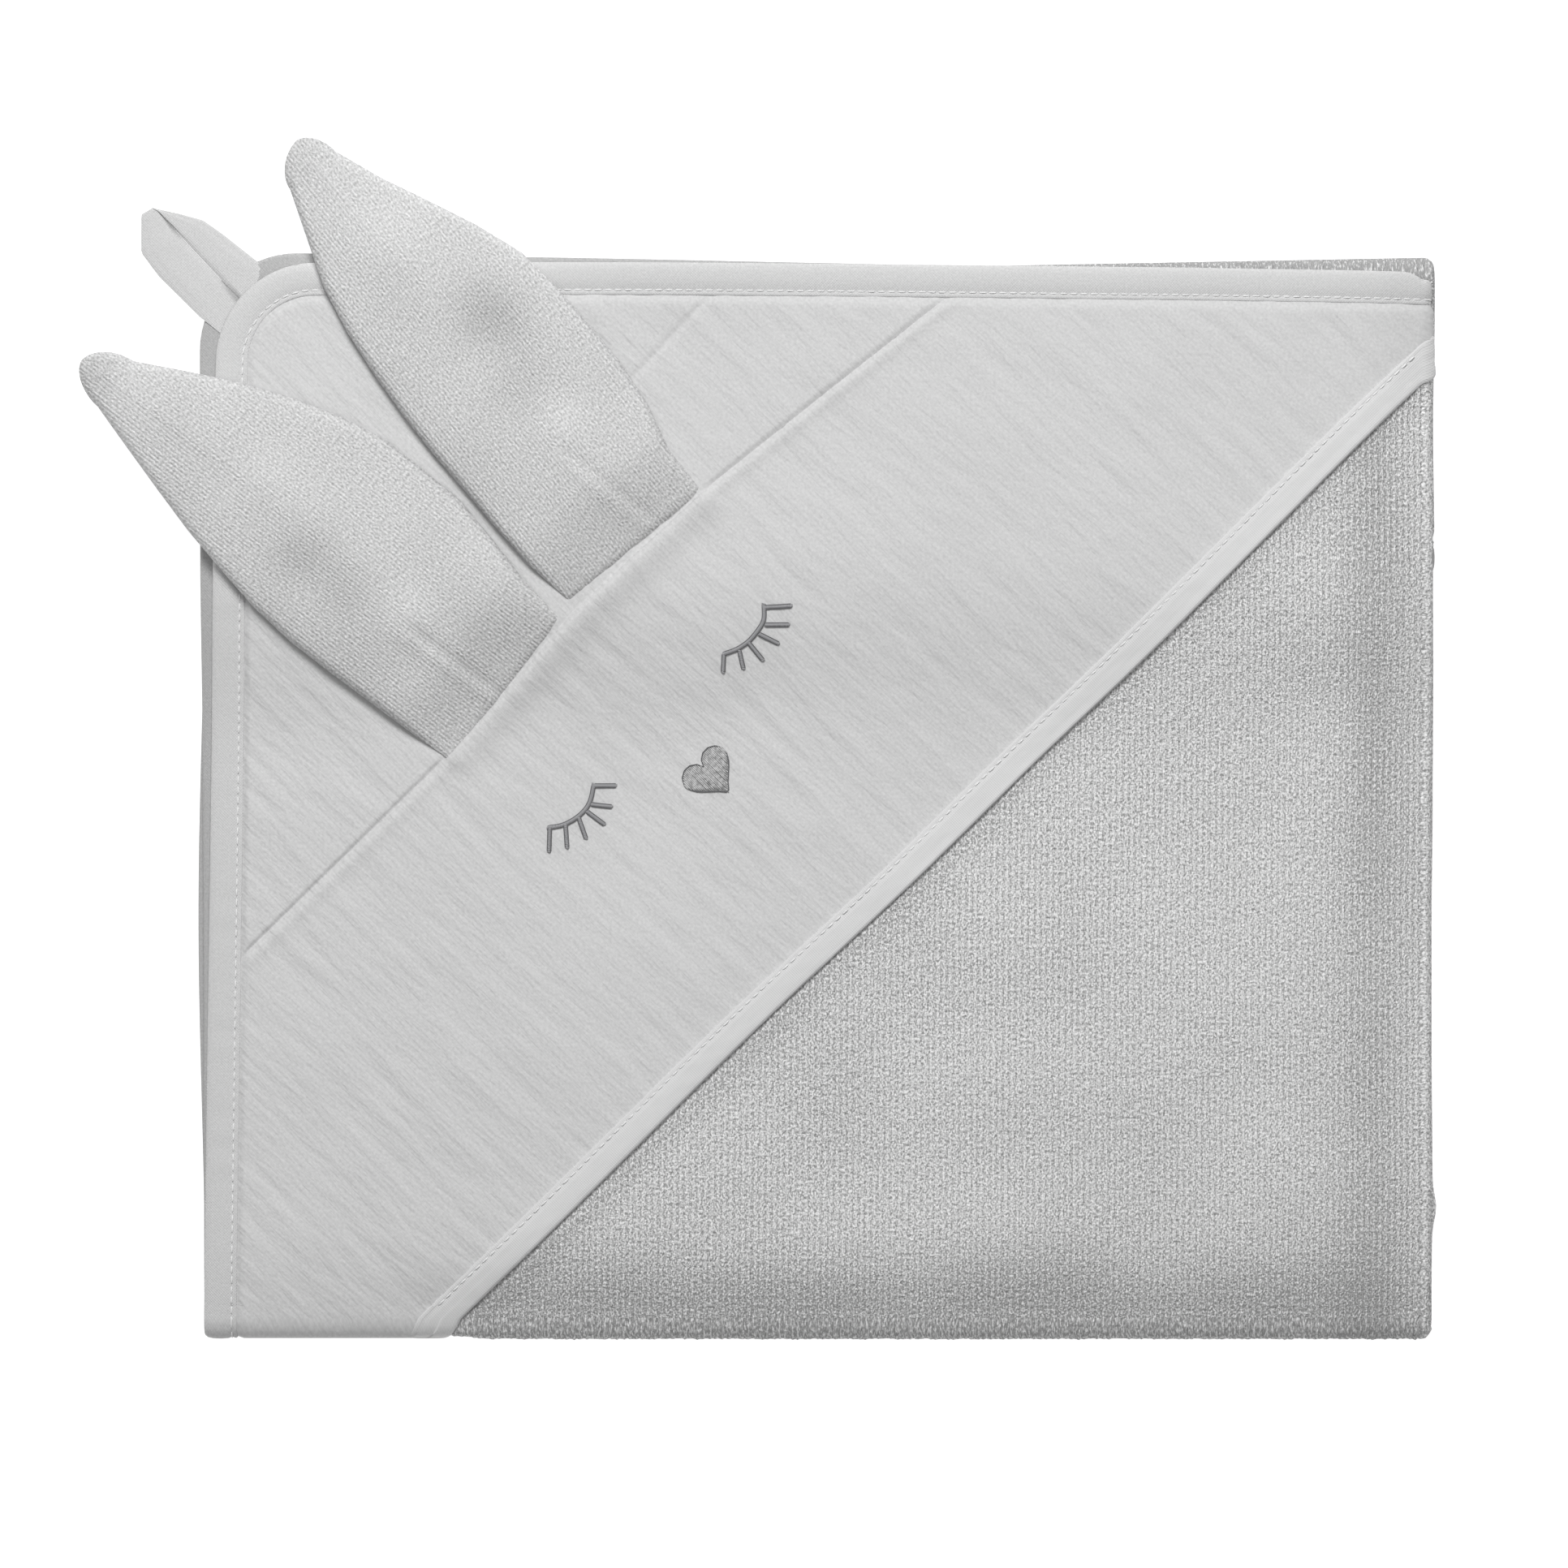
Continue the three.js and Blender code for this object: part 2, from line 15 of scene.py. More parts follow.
import bpy
import numpy as np
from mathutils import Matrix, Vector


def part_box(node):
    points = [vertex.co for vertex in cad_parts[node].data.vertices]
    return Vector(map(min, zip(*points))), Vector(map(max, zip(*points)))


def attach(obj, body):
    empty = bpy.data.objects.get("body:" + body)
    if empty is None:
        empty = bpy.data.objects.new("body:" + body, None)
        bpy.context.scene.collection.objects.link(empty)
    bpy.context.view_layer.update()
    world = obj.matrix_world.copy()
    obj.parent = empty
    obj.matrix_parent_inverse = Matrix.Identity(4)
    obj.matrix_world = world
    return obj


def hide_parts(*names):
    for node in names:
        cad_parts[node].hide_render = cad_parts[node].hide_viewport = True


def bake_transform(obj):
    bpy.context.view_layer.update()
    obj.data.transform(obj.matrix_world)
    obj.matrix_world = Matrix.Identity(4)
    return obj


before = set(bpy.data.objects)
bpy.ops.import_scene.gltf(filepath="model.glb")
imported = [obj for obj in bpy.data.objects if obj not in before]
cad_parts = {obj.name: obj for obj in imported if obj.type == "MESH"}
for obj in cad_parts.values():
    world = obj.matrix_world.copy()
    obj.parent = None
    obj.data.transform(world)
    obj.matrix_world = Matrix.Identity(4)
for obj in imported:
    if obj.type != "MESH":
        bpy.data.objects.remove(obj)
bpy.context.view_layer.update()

# %% [markdown]
# ## Camera, floor and light
# The pile is looked at from straight above through a long lens, so its sides stay hidden
# and its edges stay parallel. A softbox stands high on the far side, so each ear drops a
# narrow shadow towards the near side, and a wide soft one overhead fills in. The floor is
# nearly white.

# %% Camera, floor and light
MM = 0.001
VIEW_CENTRE = (-10.8, 5.3)
VIEW_WIDTH = 476.6
TOP_OF_PILE = 20
CAMERA_HEIGHT = 3000
SENSOR_WIDTH = 36


def add_camera():
    data = bpy.data.cameras.new("long_lens")
    data.sensor_width = SENSOR_WIDTH
    data.lens = SENSOR_WIDTH * (CAMERA_HEIGHT - TOP_OF_PILE) / VIEW_WIDTH
    data.clip_end = 20
    camera = bpy.data.objects.new("camera", data)
    camera.location = (VIEW_CENTRE[0] * MM, VIEW_CENTRE[1] * MM, CAMERA_HEIGHT * MM)
    bpy.context.scene.collection.objects.link(camera)
    bpy.context.scene.camera = camera


def add_softbox(name, size, power, place):
    data = bpy.data.lights.new(name, "AREA")
    data.shape = "SQUARE"
    data.size = size
    data.energy = power
    lamp = bpy.data.objects.new(name, data)
    lamp.location = place
    lamp.rotation_euler = (-lamp.location).to_track_quat("-Z", "Y").to_euler()
    bpy.context.scene.collection.objects.link(lamp)


add_camera()
add_softbox("key_softbox", 0.6, 32.0, (-0.15, 1.15, 1.65))
add_softbox("overhead_fill", 1.1, 6.0, (-0.1, 0.0, 2.2))

world = bpy.data.worlds.new("studio")
world.use_nodes = True
sky = world.node_tree.nodes["Background"]
sky.inputs["Color"].default_value = (1, 1, 1, 1)
sky.inputs["Strength"].default_value = 0.24
bpy.context.scene.world = world
bpy.context.scene.view_settings.view_transform = "Standard"

bpy.ops.mesh.primitive_plane_add(size=6, location=(0, 0, -0.0002))
floor = bpy.context.object
floor.name = "floor"
paint = bpy.data.materials.new("pale_floor")
paint.use_nodes = True
surface = paint.node_tree.nodes["Principled BSDF"]
surface.inputs["Base Color"].default_value = (0.35, 0.35, 0.35, 1)
surface.inputs["Roughness"].default_value = 0.9
surface.inputs["Emission Color"].default_value = (1, 1, 1, 1)
surface.inputs["Emission Strength"].default_value = 0.9
floor.data.materials.append(paint)
print("view width", VIEW_WIDTH, "mm")

# %% [markdown]
# ## Sizes
# The pile's outer sizes come from the frame. A terry layer is 3 mm thick where the pile
# presses it, with a little air between layers.

# %% Sizes


def node_box(node):
    low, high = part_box(node)
    return np.array(low) / MM, np.array(high) / MM


lower_low, lower_high = node_box("edge_binding_back")
upper_low, upper_high = node_box("edge_binding_front")
TERRY = 3.0
LAYER_GAP = 0.3
LAYER = TERRY + LAYER_GAP
HALF = TERRY / 2
PAIR_OFFSET = LAYER / 2          # from the middle of two layers to the middle of one
FOLD_Y = lower_low[1]            # crosswise line that the near fold turns about
FOLD_Z = lower_high[2] / 2
TURN = LAYER                     # radius of a pair's middle line round a fold
FAR_FOLD_Y = lower_high[1] - 2 * LAYER + LAYER_GAP / 2
FRONT_TOP = 163.0
RIGHT_UPPER = node_box("terry_front")[1][0] - PAIR_OFFSET - HALF
RIGHT_LOWER = lower_high[0] - PAIR_OFFSET - HALF
ROW_1 = FRONT_TOP - FOLD_Y
TURN_LENGTH = math.pi * TURN
ROW_2 = FAR_FOLD_Y - FOLD_Y
ROW_3 = 90.0
HALF_WIDTH = 370.0
BEND_LENGTH = math.pi * PAIR_OFFSET
CLOTH_U = 2 * HALF_WIDTH + BEND_LENGTH
CLOTH_V = ROW_1 + ROW_2 + ROW_3 + 2 * TURN_LENGTH
CORNER = 30.0
TAPE_WIDTH = 10.0
TAPE = 0.55
BORDER = 0.55                    # half thickness of terry inside the tape
SPLIT = 4.0                      # flat cloth that stays with each near-fold piece
UPPER_END = ROW_1 - SPLIT
LOWER_START = ROW_1 + TURN_LENGTH + SPLIT
OPENING = 402.0                  # u + v at the hood's opening edge
TUCKED = 9.2                     # how far from the edge cloth ends inside the tape
print(f"cloth {CLOTH_U:.0f} by {CLOTH_V:.0f} mm, tucked strip {ROW_3:.0f} mm")

# %% [markdown]
# ## Uneven cloth
# Nothing about cloth is regular, so most surfaces get a slow random drift. A small lattice
# noise in plain array code gives the same drift on every run, and it can be read at any
# place of the pattern, so that two pieces that meet still agree.

# %% Noise


def smooth(t):
    t = np.clip(t, 0, 1)
    return t * t * (3 - 2 * t)


def lattice(ix, iy, seed):
    """A repeatable random number from 0 to 1 for each whole-numbered place."""
    mixed = ix.astype(np.int64) * 374761393 + iy.astype(np.int64) * 668265263 + seed * 974634777
    mixed = (mixed ^ (mixed >> 13)) * 1274126177
    mixed = mixed ^ (mixed >> 16)
    return (mixed & 0xFFFFFF) / float(0xFFFFFF)


def drift(x, y, size, seed):
    """Soft noise from -1 to 1 with features about size wide."""
    gx, gy = np.asarray(x) / size, np.asarray(y) / size
    ix, iy = np.floor(gx), np.floor(gy)
    fx, fy = smooth(gx - ix), smooth(gy - iy)
    near = lattice(ix, iy, seed) * (1 - fx) + lattice(ix + 1, iy, seed) * fx
    far = lattice(ix, iy + 1, seed) * (1 - fx) + lattice(ix + 1, iy + 1, seed) * fx
    return 2 * (near * (1 - fy) + far * fy) - 1


print("drift at the origin", round(float(drift(0.0, 0.0, 10, 1)), 3))

# %% [markdown]
# ## Folding the pattern
# `u` runs across the flat towel and `v` down it, from the hood's corner. The towel is folded
# in half, so past the crosswise bend the cloth comes back underneath. Then the pair of
# layers runs down the top of the pile, turns under at the near fold, comes back along the
# table, turns up at the far fold and ends in the tucked strip. The top pair has to climb
# over that strip, which shows as a soft step across the towel.

# %% Heights of the pile
CLIMB_START = 8.0
CLIMB_END = 80.0


def climb(y):
    """How far the top pair has risen to pass over the tucked strip."""
    t = np.clip((y - CLIMB_START) / (CLIMB_END - CLIMB_START), 0, 1)
    return 2 * LAYER * t * t * t * (t * (6 * t - 15) + 10)


def loft(x, y):
    """The top pair isn't pressed flat: it stands highest in the middle."""
    right = 1 - np.exp(-((np.clip(RIGHT_LOWER + 7 - x, 0, None) / 17) ** 2))
    near = 1 - np.exp(-((np.clip(y - FOLD_Y + 6, 0, None) / 17) ** 2))
    left = 1 - np.exp(-np.clip(x + 187, 0, None) / 25)
    waves = 1.3 * drift(x, y, 58, 3) + 0.5 * drift(x, y, 27, 4)
    terry_side = 2.6 * smooth((x + 160) / 90)
    return right * near * (1.5 + left * (2.6 + waves) + terry_side)


print("the top pair climbs", round(float(climb(CLIMB_END)), 1), "mm over the strip")

# %% [markdown]
# The layers' edges don't lie quite in line, and that is what tells the eye that this is a
# folded cloth and not a block. So each edge is a function of its own.

# %% Edges of the layers


def left_edge(y, upper, above):
    """Where the bound left edge of a layer ends up: no two lie quite in line."""
    top_layer = -183.2 - 4.4 * (FRONT_TOP - y) / ROW_1
    second = -188.6 + 0.9 * smooth((120 - y) / 200)
    lower = -187.4 - 2.3 * np.exp(-(((y + 35) / 75) ** 2))
    return np.where(upper, np.where(above, top_layer, second), lower)


def front_edge(x, above):
    """The far edge of the top pair isn't square to its sides."""
    share = np.clip((RIGHT_UPPER + 4 - x) / 375, 0, 1)
    top_layer = 160.8 + 2.9 * np.sin(0.5 * math.pi * np.clip(share / 0.77, 0, 1))
    second = 160.0 + 7.4 * share
    return np.where(above, top_layer, second)


print("far edge at the left", float(front_edge(-187.0, True).round(1)))

# %% [markdown]
# The fold map has two parts. `middle_line` follows the middle of a pair of layers lengthwise,
# row by row and turn by turn. `fold_map` adds the crosswise place, the bend between the two
# layers, the height above the cloth's middle, and the loft.

# %% Fold map
ROW_2_START = ROW_1 + TURN_LENGTH
FAR_TURN_START = ROW_1 + TURN_LENGTH + ROW_2
ROW_3_START = ROW_1 + 2 * TURN_LENGTH + ROW_2


def middle_line(v, y_top, near):
    """A pair's middle line at v, in y and z, and the way its upper face points there."""
    far = np.clip((v - FAR_TURN_START) / TURN_LENGTH, 0, 1) * math.pi
    slope = climb(y_top + 0.5) - climb(y_top - 0.5)
    norm = np.sqrt(1 + slope**2)
    part = [v <= ROW_1, v <= ROW_2_START, v <= FAR_TURN_START, v <= ROW_3_START]
    y = np.select(part, [y_top, FOLD_Y - TURN * np.sin(near), FOLD_Y + v - ROW_2_START,
                         FAR_FOLD_Y + TURN * np.sin(far)], FAR_FOLD_Y - (v - ROW_3_START))
    z = np.select(part, [FOLD_Z + TURN + climb(y_top), FOLD_Z + TURN * np.cos(near),
                         FOLD_Z - TURN, FOLD_Z - TURN * np.cos(far)], FOLD_Z + TURN)
    ny = np.select(part, [-slope / norm, -np.sin(near), 0.0, np.sin(far)], 0.0)
    nz = np.select(part, [1 / norm, np.cos(near), -1.0, -np.cos(far)], 1.0)
    return y, z, ny, nz


def fold_map(u, v, h):
    """Folds points of the flat pattern, h above the cloth's middle, into the pile, in mm."""
    u, v, h = np.broadcast_arrays(*(np.asarray(a, float) for a in (u, v, h)))
    bend = np.clip((u - HALF_WIDTH) / BEND_LENGTH, 0, 1) * math.pi
    above = u < HALF_WIDTH + BEND_LENGTH / 2
    reach = PAIR_OFFSET + h
    side = reach * np.cos(bend)
    across = np.minimum(np.where(above, u, CLOTH_U - u) / HALF_WIDTH, 1)
    near = np.clip((v - ROW_1) / TURN_LENGTH, 0, 1) * math.pi
    row_1 = v <= ROW_1
    near_turn = ~row_1 & (v <= ROW_2_START)

    guess_x = -187 + across * (RIGHT_UPPER + 187)
    top = front_edge(guess_x, above)
    y_top = top + (FOLD_Y - top) * v / ROW_1
    rounding = np.clip((guess_x - RIGHT_UPPER + 6) / 8, 0, 1) ** 2 * smooth(1 - v / 9)
    y, z, ny, nz = middle_line(v, y_top - 4.0 * rounding, near)

    upper = row_1 | (near_turn & (near < math.pi / 2))
    turned = np.where(row_1, 0.0, smooth((v - ROW_1) / TURN_LENGTH))
    edge = left_edge(y, True, above)
    edge = edge + (left_edge(y, False, above) - edge) * turned
    nub = 1.2 * turned * np.exp(-(((y + 124) / 5) ** 2))
    right = RIGHT_UPPER + (RIGHT_LOWER - RIGHT_UPPER) * turned
    right = right + 0.35 * drift(y, 7.0 * upper, 38, 8) + nub
    x = edge + (right - edge) * across + reach * np.sin(bend)

    y = y + side * ny
    z = z + side * nz
    slant = -7.0 * np.clip((RIGHT_LOWER - x) / 375, 0, 1)
    y = y + np.where(v > ROW_2_START, slant * smooth((y - 40) / 110), 0.0)
    lifted = np.where(row_1, 1.0, np.where(near_turn, np.clip(np.cos(near), 0, 1), 0.0))
    return np.stack([x, y, z + lifted * loft(x, y)], axis=-1)


def to_flat(x, y):
    """The pattern place of a point of the topmost layer, seen from above."""
    x, y = np.asarray(x, float), np.asarray(y, float)
    edge = left_edge(y, True, True)
    u = (x - edge) / (RIGHT_UPPER - edge) * HALF_WIDTH
    top = front_edge(x, True)
    return u, (y - top) / (FOLD_Y - top) * ROW_1


corner_test = fold_map(np.array([0.0, HALF_WIDTH]), np.array([40.0, 40.0]), 0.0)
print("left and right of the top layer", corner_test.round(1).tolist())

# %% [markdown]
# ## Building meshes
# Cloth is a closed skin: a grid for its outer face, a grid for its inner face and a rim
# between them. Threads are thin tubes, many to a mesh. Each point also remembers its place
# in the flat pattern, which the weave and the pile are drawn from, so they fold with the
# cloth. An attribute does that better than a UV map here, because it holds millimetres.

# %% Mesh helpers


def make_object(name, points, faces, flat, material):
    """A mesh object in metres from points in mm. flat is the pattern place of each point."""
    mesh = bpy.data.meshes.new(name)
    points = np.asarray(points, float).reshape(-1, 3) * MM
    mesh.from_pydata(points, [], faces if isinstance(faces, list) else faces.tolist())
    mesh.polygons.foreach_set("use_smooth", np.ones(len(mesh.polygons), bool))
    pattern = mesh.attributes.new("pattern", "FLOAT_VECTOR", "POINT")
    pattern.data.foreach_set("vector", np.asarray(flat, np.float32).reshape(-1))
    mesh.update()
    thing = bpy.data.objects.new(name, mesh)
    bpy.context.scene.collection.objects.link(thing)
    thing.data.materials.append(material)
    return thing


print("a mesh needs points, faces and a place in the pattern for each point")

# %% [markdown]
# Closed cloth is a solid skin. Its rim edges are marked sharp, because smooth shading would
# otherwise draw a dark line wherever two parts of the same cloth meet.

# %% Closed cloth


def grid_faces(rows, columns, start=0):
    index = start + np.arange(rows * columns).reshape(rows, columns)
    quads = [index[:-1, :-1], index[1:, :-1], index[1:, 1:], index[:-1, 1:]]
    return np.stack([q.ravel() for q in quads], axis=1)


def cloth_skin(name, u, v, outer, inner, material):
    """Closed cloth over the pattern grid u, v, between heights inner and outer."""
    top = fold_map(u, v, outer).reshape(-1, 3)
    bottom = fold_map(u, v, inner).reshape(-1, 3)
    return closed_skin(name, top, bottom, *u.shape, u, v, material)


def flat_places(u, v):
    """The pattern attribute's values: u, v and nothing."""
    return np.stack([u, v, 0 * u], axis=-1)


def closed_skin(name, top, bottom, rows, columns, u, v, material, flip=False, sharp=True):
    faces = grid_faces(rows, columns)
    under = grid_faces(rows, columns, rows * columns)[:, ::-1]
    index = np.arange(rows * columns).reshape(rows, columns)
    rim = np.concatenate([index[0, :-1], index[:-1, -1], index[-1, :0:-1], index[:0:-1, 0]])
    ahead = np.roll(rim, -1)
    walls = np.stack([rim, ahead, ahead + rows * columns, rim + rows * columns], axis=1)
    faces = np.concatenate([faces, under, walls])
    if flip:
        faces = faces[:, ::-1]
    flat = flat_places(u, v).reshape(-1, 3)
    points, places = np.concatenate([top, bottom]), np.concatenate([flat, flat])
    thing = make_object(name, points, faces, places, material)
    if sharp:
        crease_rim(thing, rim, rows * columns)
    return thing


def crease_rim(thing, rim, count):
    """Keeps the rim out of the smooth shading, so parts of one cloth meet without a line."""
    on_rim = np.zeros(2 * count, bool)
    on_rim[rim] = on_rim[rim + count] = True
    edges = np.empty(len(thing.data.edges) * 2, int)
    thing.data.edges.foreach_get("vertices", edges)
    pair = edges.reshape(-1, 2)
    flags = on_rim[pair].all(axis=1) & ((pair[:, 0] < count) == (pair[:, 1] < count))
    mark = thing.data.attributes.new("sharp_edge", "BOOLEAN", "EDGE")
    mark.data.foreach_set("value", flags)


print("a 3 by 4 grid has", len(grid_faces(3, 4)), "faces")

# %% [markdown]
# Threads are round tubes that narrow at both ends, where they go into the cloth. One mesh
# holds all the threads of a motif, which is far lighter than an object for each.

# %% Threads
THREAD_END = 0.45                # how thick a thread's end is against its middle


def tube_mesh(name, paths, flats, radius, material, sides=6):
    """Thin round threads, one for each path of points, joined into one mesh."""
    paths = np.asarray(paths, float)
    count, steps, _ = paths.shape
    along = np.gradient(paths, axis=1)
    along /= np.linalg.norm(along, axis=-1, keepdims=True) + 1e-9
    side = np.cross(along, [0.0, 0.0, 1.0])
    side /= np.linalg.norm(side, axis=-1, keepdims=True) + 1e-9
    lift = np.cross(side, along)
    taper = np.ones(steps)
    taper[0] = taper[-1] = THREAD_END
    angle = np.arange(sides) / sides * 2 * math.pi
    ring = side[:, :, None] * np.cos(angle)[:, None] + lift[:, :, None] * np.sin(angle)[:, None]
    points = paths[:, :, None] + radius * taper[:, None, None] * ring
    base = np.arange(count)[:, None, None] * steps * sides
    row = np.arange(steps - 1)[None, :, None] * sides
    spot = np.arange(sides)[None, None, :]
    a = base + row + spot
    b = base + row + (spot + 1) % sides
    quads = np.stack([a, b, b + sides, a + sides], axis=-1).reshape(-1, 4)[:, ::-1].tolist()
    first = (base[:, 0, :] + np.arange(sides)).tolist()
    last = (base[:, 0, :] + (steps - 1) * sides + np.arange(sides)[::-1]).tolist()
    flat = np.repeat(np.asarray(flats, float)[:, :, None], sides, axis=2)
    return make_object(name, points, quads + first + last, flat, material)


print("threads narrow to", THREAD_END, "at their ends")

# %% [markdown]
# ## Materials
# The cloths are all pale greys, so they differ mostly by how they catch light. Terry is a deep
# pile that drinks light; ribbed ear velour is finer; muslin is flat and dry; tape has a slight
# sheen. Every cloth starts from one plain, rough surface.

# %% Plain cloth


def cloth_material(name, grey, roughness, sheen, cool=0.0):
    material = bpy.data.materials.new(name)
    material.use_nodes = True
    shader = material.node_tree.nodes["Principled BSDF"]
    shader.inputs["Base Color"].default_value = (grey, grey, grey + cool, 1)
    shader.inputs["Roughness"].default_value = roughness
    shader.inputs["Specular IOR Level"].default_value = 0.12
    shader.inputs["Sheen Weight"].default_value = sheen
    shader.inputs["Sheen Roughness"].default_value = 0.6
    return material


print("plain cloth ready")

# %% [markdown]
# Weave could be drawn from a UV map or from object space. Here the nodes read the pattern
# attribute, so ribs run along the cloth and turn with it at a fold. A small helper makes each
# math node, so that a formula reads like one.

# %% Node helpers


def node_from(material, kind, **settings):
    node = material.node_tree.nodes.new(kind)
    for name, value in settings.items():
        setattr(node, name, value)
    return node


def math_node(material, operation, *values):
    """A math node's output. Each value is a number or another node's socket."""
    node = node_from(material, "ShaderNodeMath", operation=operation)
    for socket, value in zip(node.inputs, values):
        if isinstance(value, float):
            socket.default_value = value
        else:
            material.node_tree.links.new(value, socket)
    return node.outputs[0]


def pattern_place(material, turn=0.0):
    """The place in the flat pattern, in mm, turned by an angle."""
    place = node_from(material, "ShaderNodeAttribute", attribute_name="pattern")
    spin = node_from(material, "ShaderNodeVectorRotate", rotation_type="Z_AXIS")
    spin.inputs["Angle"].default_value = turn
    material.node_tree.links.new(place.outputs["Vector"], spin.inputs["Vector"])
    return spin.outputs["Vector"]


def noise_at(material, place, size, detail):
    """Noise with cells of a size in mm, across and along."""
    scale = node_from(material, "ShaderNodeVectorMath", operation="MULTIPLY")
    scale.inputs[1].default_value = (1 / size[0], 1 / size[1], 1)
    material.node_tree.links.new(place, scale.inputs[0])
    noise = node_from(material, "ShaderNodeTexNoise")
    noise.inputs["Scale"].default_value = 1.0
    noise.inputs["Detail"].default_value = detail
    material.node_tree.links.new(scale.outputs["Vector"], noise.inputs["Vector"])
    return noise.outputs["Fac"]


def ridges_at(material, place, axis, pitch):
    """A sine wave of the pitch in mm along X or Y of the pattern."""
    parts = node_from(material, "ShaderNodeSeparateXYZ")
    material.node_tree.links.new(place, parts.inputs["Vector"])
    return math_node(material, "SINE",
                     math_node(material, "MULTIPLY", parts.outputs[axis], 2 * math.pi / pitch))


print("node helpers ready")

# %% [markdown]
# Two finishes build on that. A bump gives ribs, weave or creases that catch light. A mottled
# colour paints shade in the gaps between loops and wales and light on the loops' tips, with a
# random change of tone, which no bump can do for cloth this fine.

# %% Bump, mottled colour and painted shade


def ribbed(material, depth, pitches=(), turn=0.0, noise=0.0, noise_size=(1.0, 1.0)):
    """A bump of ridges across u, and v if given, turned by an angle, plus fine noise."""
    place = pattern_place(material, turn)
    height = 0.0
    for axis, pitch in zip("XY", pitches):
        height = math_node(material, "ADD", ridges_at(material, place, axis, pitch), height)
    if noise:
        grain = noise_at(material, place, noise_size, 3.0)
        height = math_node(material, "MULTIPLY_ADD", grain, noise, height)
    bump = node_from(material, "ShaderNodeBump")
    bump.inputs["Distance"].default_value = depth * MM
    bump.inputs["Strength"].default_value = 1.0
    material.node_tree.links.new(height, bump.inputs["Height"])
    shader = material.node_tree.nodes["Principled BSDF"]
    material.node_tree.links.new(bump.outputs["Normal"], shader.inputs["Normal"])


def mottled_with_painted_shade(material, dark, light, size, below, beyond, grain=1.0, wale=0.0, pitch=1.9):
    """Paints shade in the gaps and light on the loops, with wales along it and a random tone.

    The noise's middle, 0.5, lies below past dark and beyond short of light. A point's painted
    shade value moves it towards dark: shade painted into the colour at folds, beside the hood,
    in the ear dents and in the loop's slit.
    """
    place = pattern_place(material)
    speckle = math_node(material, "MULTIPLY", noise_at(material, place, size, 2.0), grain)
    total = math_node(material, "MULTIPLY_ADD", ridges_at(material, place, "X", pitch), wale, speckle)
    # Painted shade, stored per point, pulls the colour towards dark.
    painted_shading_and_tone = node_from(material, "ShaderNodeAttribute", attribute_name="painted_shading_and_tone")
    total = math_node(material, "MULTIPLY_ADD", painted_shading_and_tone.outputs["Fac"], -1.0, total)
    reach = below + beyond
    share = math_node(material, "MULTIPLY_ADD", total, 1 / reach, (below - 0.5 * grain) / reach)
    ramp = node_from(material, "ShaderNodeValToRGB")
    ramp.color_ramp.elements[0].color = (dark, dark, dark, 1)
    ramp.color_ramp.elements[1].color = (light, light, light, 1)
    material.node_tree.links.new(share, ramp.inputs["Fac"])
    shader = material.node_tree.nodes["Principled BSDF"]
    material.node_tree.links.new(ramp.outputs["Color"], shader.inputs["Base Color"])


def give_painted_shading(thing, amount):
    """Gives every point how much painted shade darkens its colour, painted light where negative, and for
    terry and ears a little random tone.
    """
    mark = thing.data.attributes.new("painted_shading_and_tone", "FLOAT", "POINT")
    mark.data.foreach_set("value", np.asarray(amount, np.float32).ravel())
    return thing


print("finishes ready")

# %% [markdown]
# Now each cloth of this towel gets its own numbers. Terry has wales 1.9 mm apart, ear velour
# finer ones. Muslin has only fine creases, which run from the ear seam to the opening, so its
# noise is turned by 45 degrees and stretched. Tape shows its weave on the bias.

# %% The cloths and threads
TERRY_WALE = 1.9
EAR_WALE = 1.15
BIAS = math.pi / 4

terry_cloth = cloth_material("terry", 0.84, 1.0, 0.1)
ribbed(terry_cloth, 0.12, (TERRY_WALE,), noise=9.0, noise_size=(0.5, 0.7))
mottled_with_painted_shade(terry_cloth, 0.40, 1.0, (0.5, 0.95), 0.33, 0.23, grain=2.2, wale=0.09, pitch=TERRY_WALE)

ear_cloth = cloth_material("ear_terry", 0.60, 1.0, 0.12)
ribbed(ear_cloth, 0.06, (EAR_WALE,), noise=7.0, noise_size=(0.7, 0.9))
mottled_with_painted_shade(ear_cloth, 0.34, 0.86, (0.55, 0.9), 0.33, 0.33, grain=1.1, wale=0.05, pitch=EAR_WALE)

muslin_cloth = cloth_material("muslin", 0.60, 0.95, 0.0)
ribbed(muslin_cloth, 0.10, turn=BIAS, noise=5.0, noise_size=(1.6, 8.0))
mottled_with_painted_shade(muslin_cloth, 0.50, 0.71, (0.9, 0.9), 0.3, 0.3, grain=0.6)

tape_cloth = cloth_material("tape", 0.60, 0.85, 0.1)
opening_cloth = cloth_material("opening_tape", 0.67, 0.85, 0.1)
for tape_material in (tape_cloth, opening_cloth):
    ribbed(tape_material, 0.02, (0.6, 0.6), turn=BIAS)
mottled_with_painted_shade(tape_cloth, 0.24, 0.96, (0.7, 0.7), 0.5, 0.5, grain=0.3)

white_thread = cloth_material("thread", 0.80, 0.7, 0.1)
eye_thread = cloth_material("eye_thread", 0.34, 0.7, 0.1, 0.01)
outline_thread = cloth_material("outline_thread", 0.13, 0.7, 0.1, 0.005)
heart_thread = cloth_material("heart_thread", 0.46, 0.7, 0.1, 0.01)
mottled_with_painted_shade(heart_thread, 0.26, 0.66, (1.1, 1.1), 0.25, 0.25)
print("materials", len(bpy.data.materials))

# %% [markdown]
# ## Terry layers
# The towel is one cloth. Only the top pair swings up on the near fold, so the cloth is
# drawn in three parts that meet in line: the front, the near fold and the back. Each is one
# closed grid over the pattern. Where tape holds the edge, the pile is pressed thin. Where the
# hood lies over it, it is pressed a little.

# %% Heights of terry
CHANNEL = TAPE_WIDTH + 0.6       # width of the thin border that the tape holds


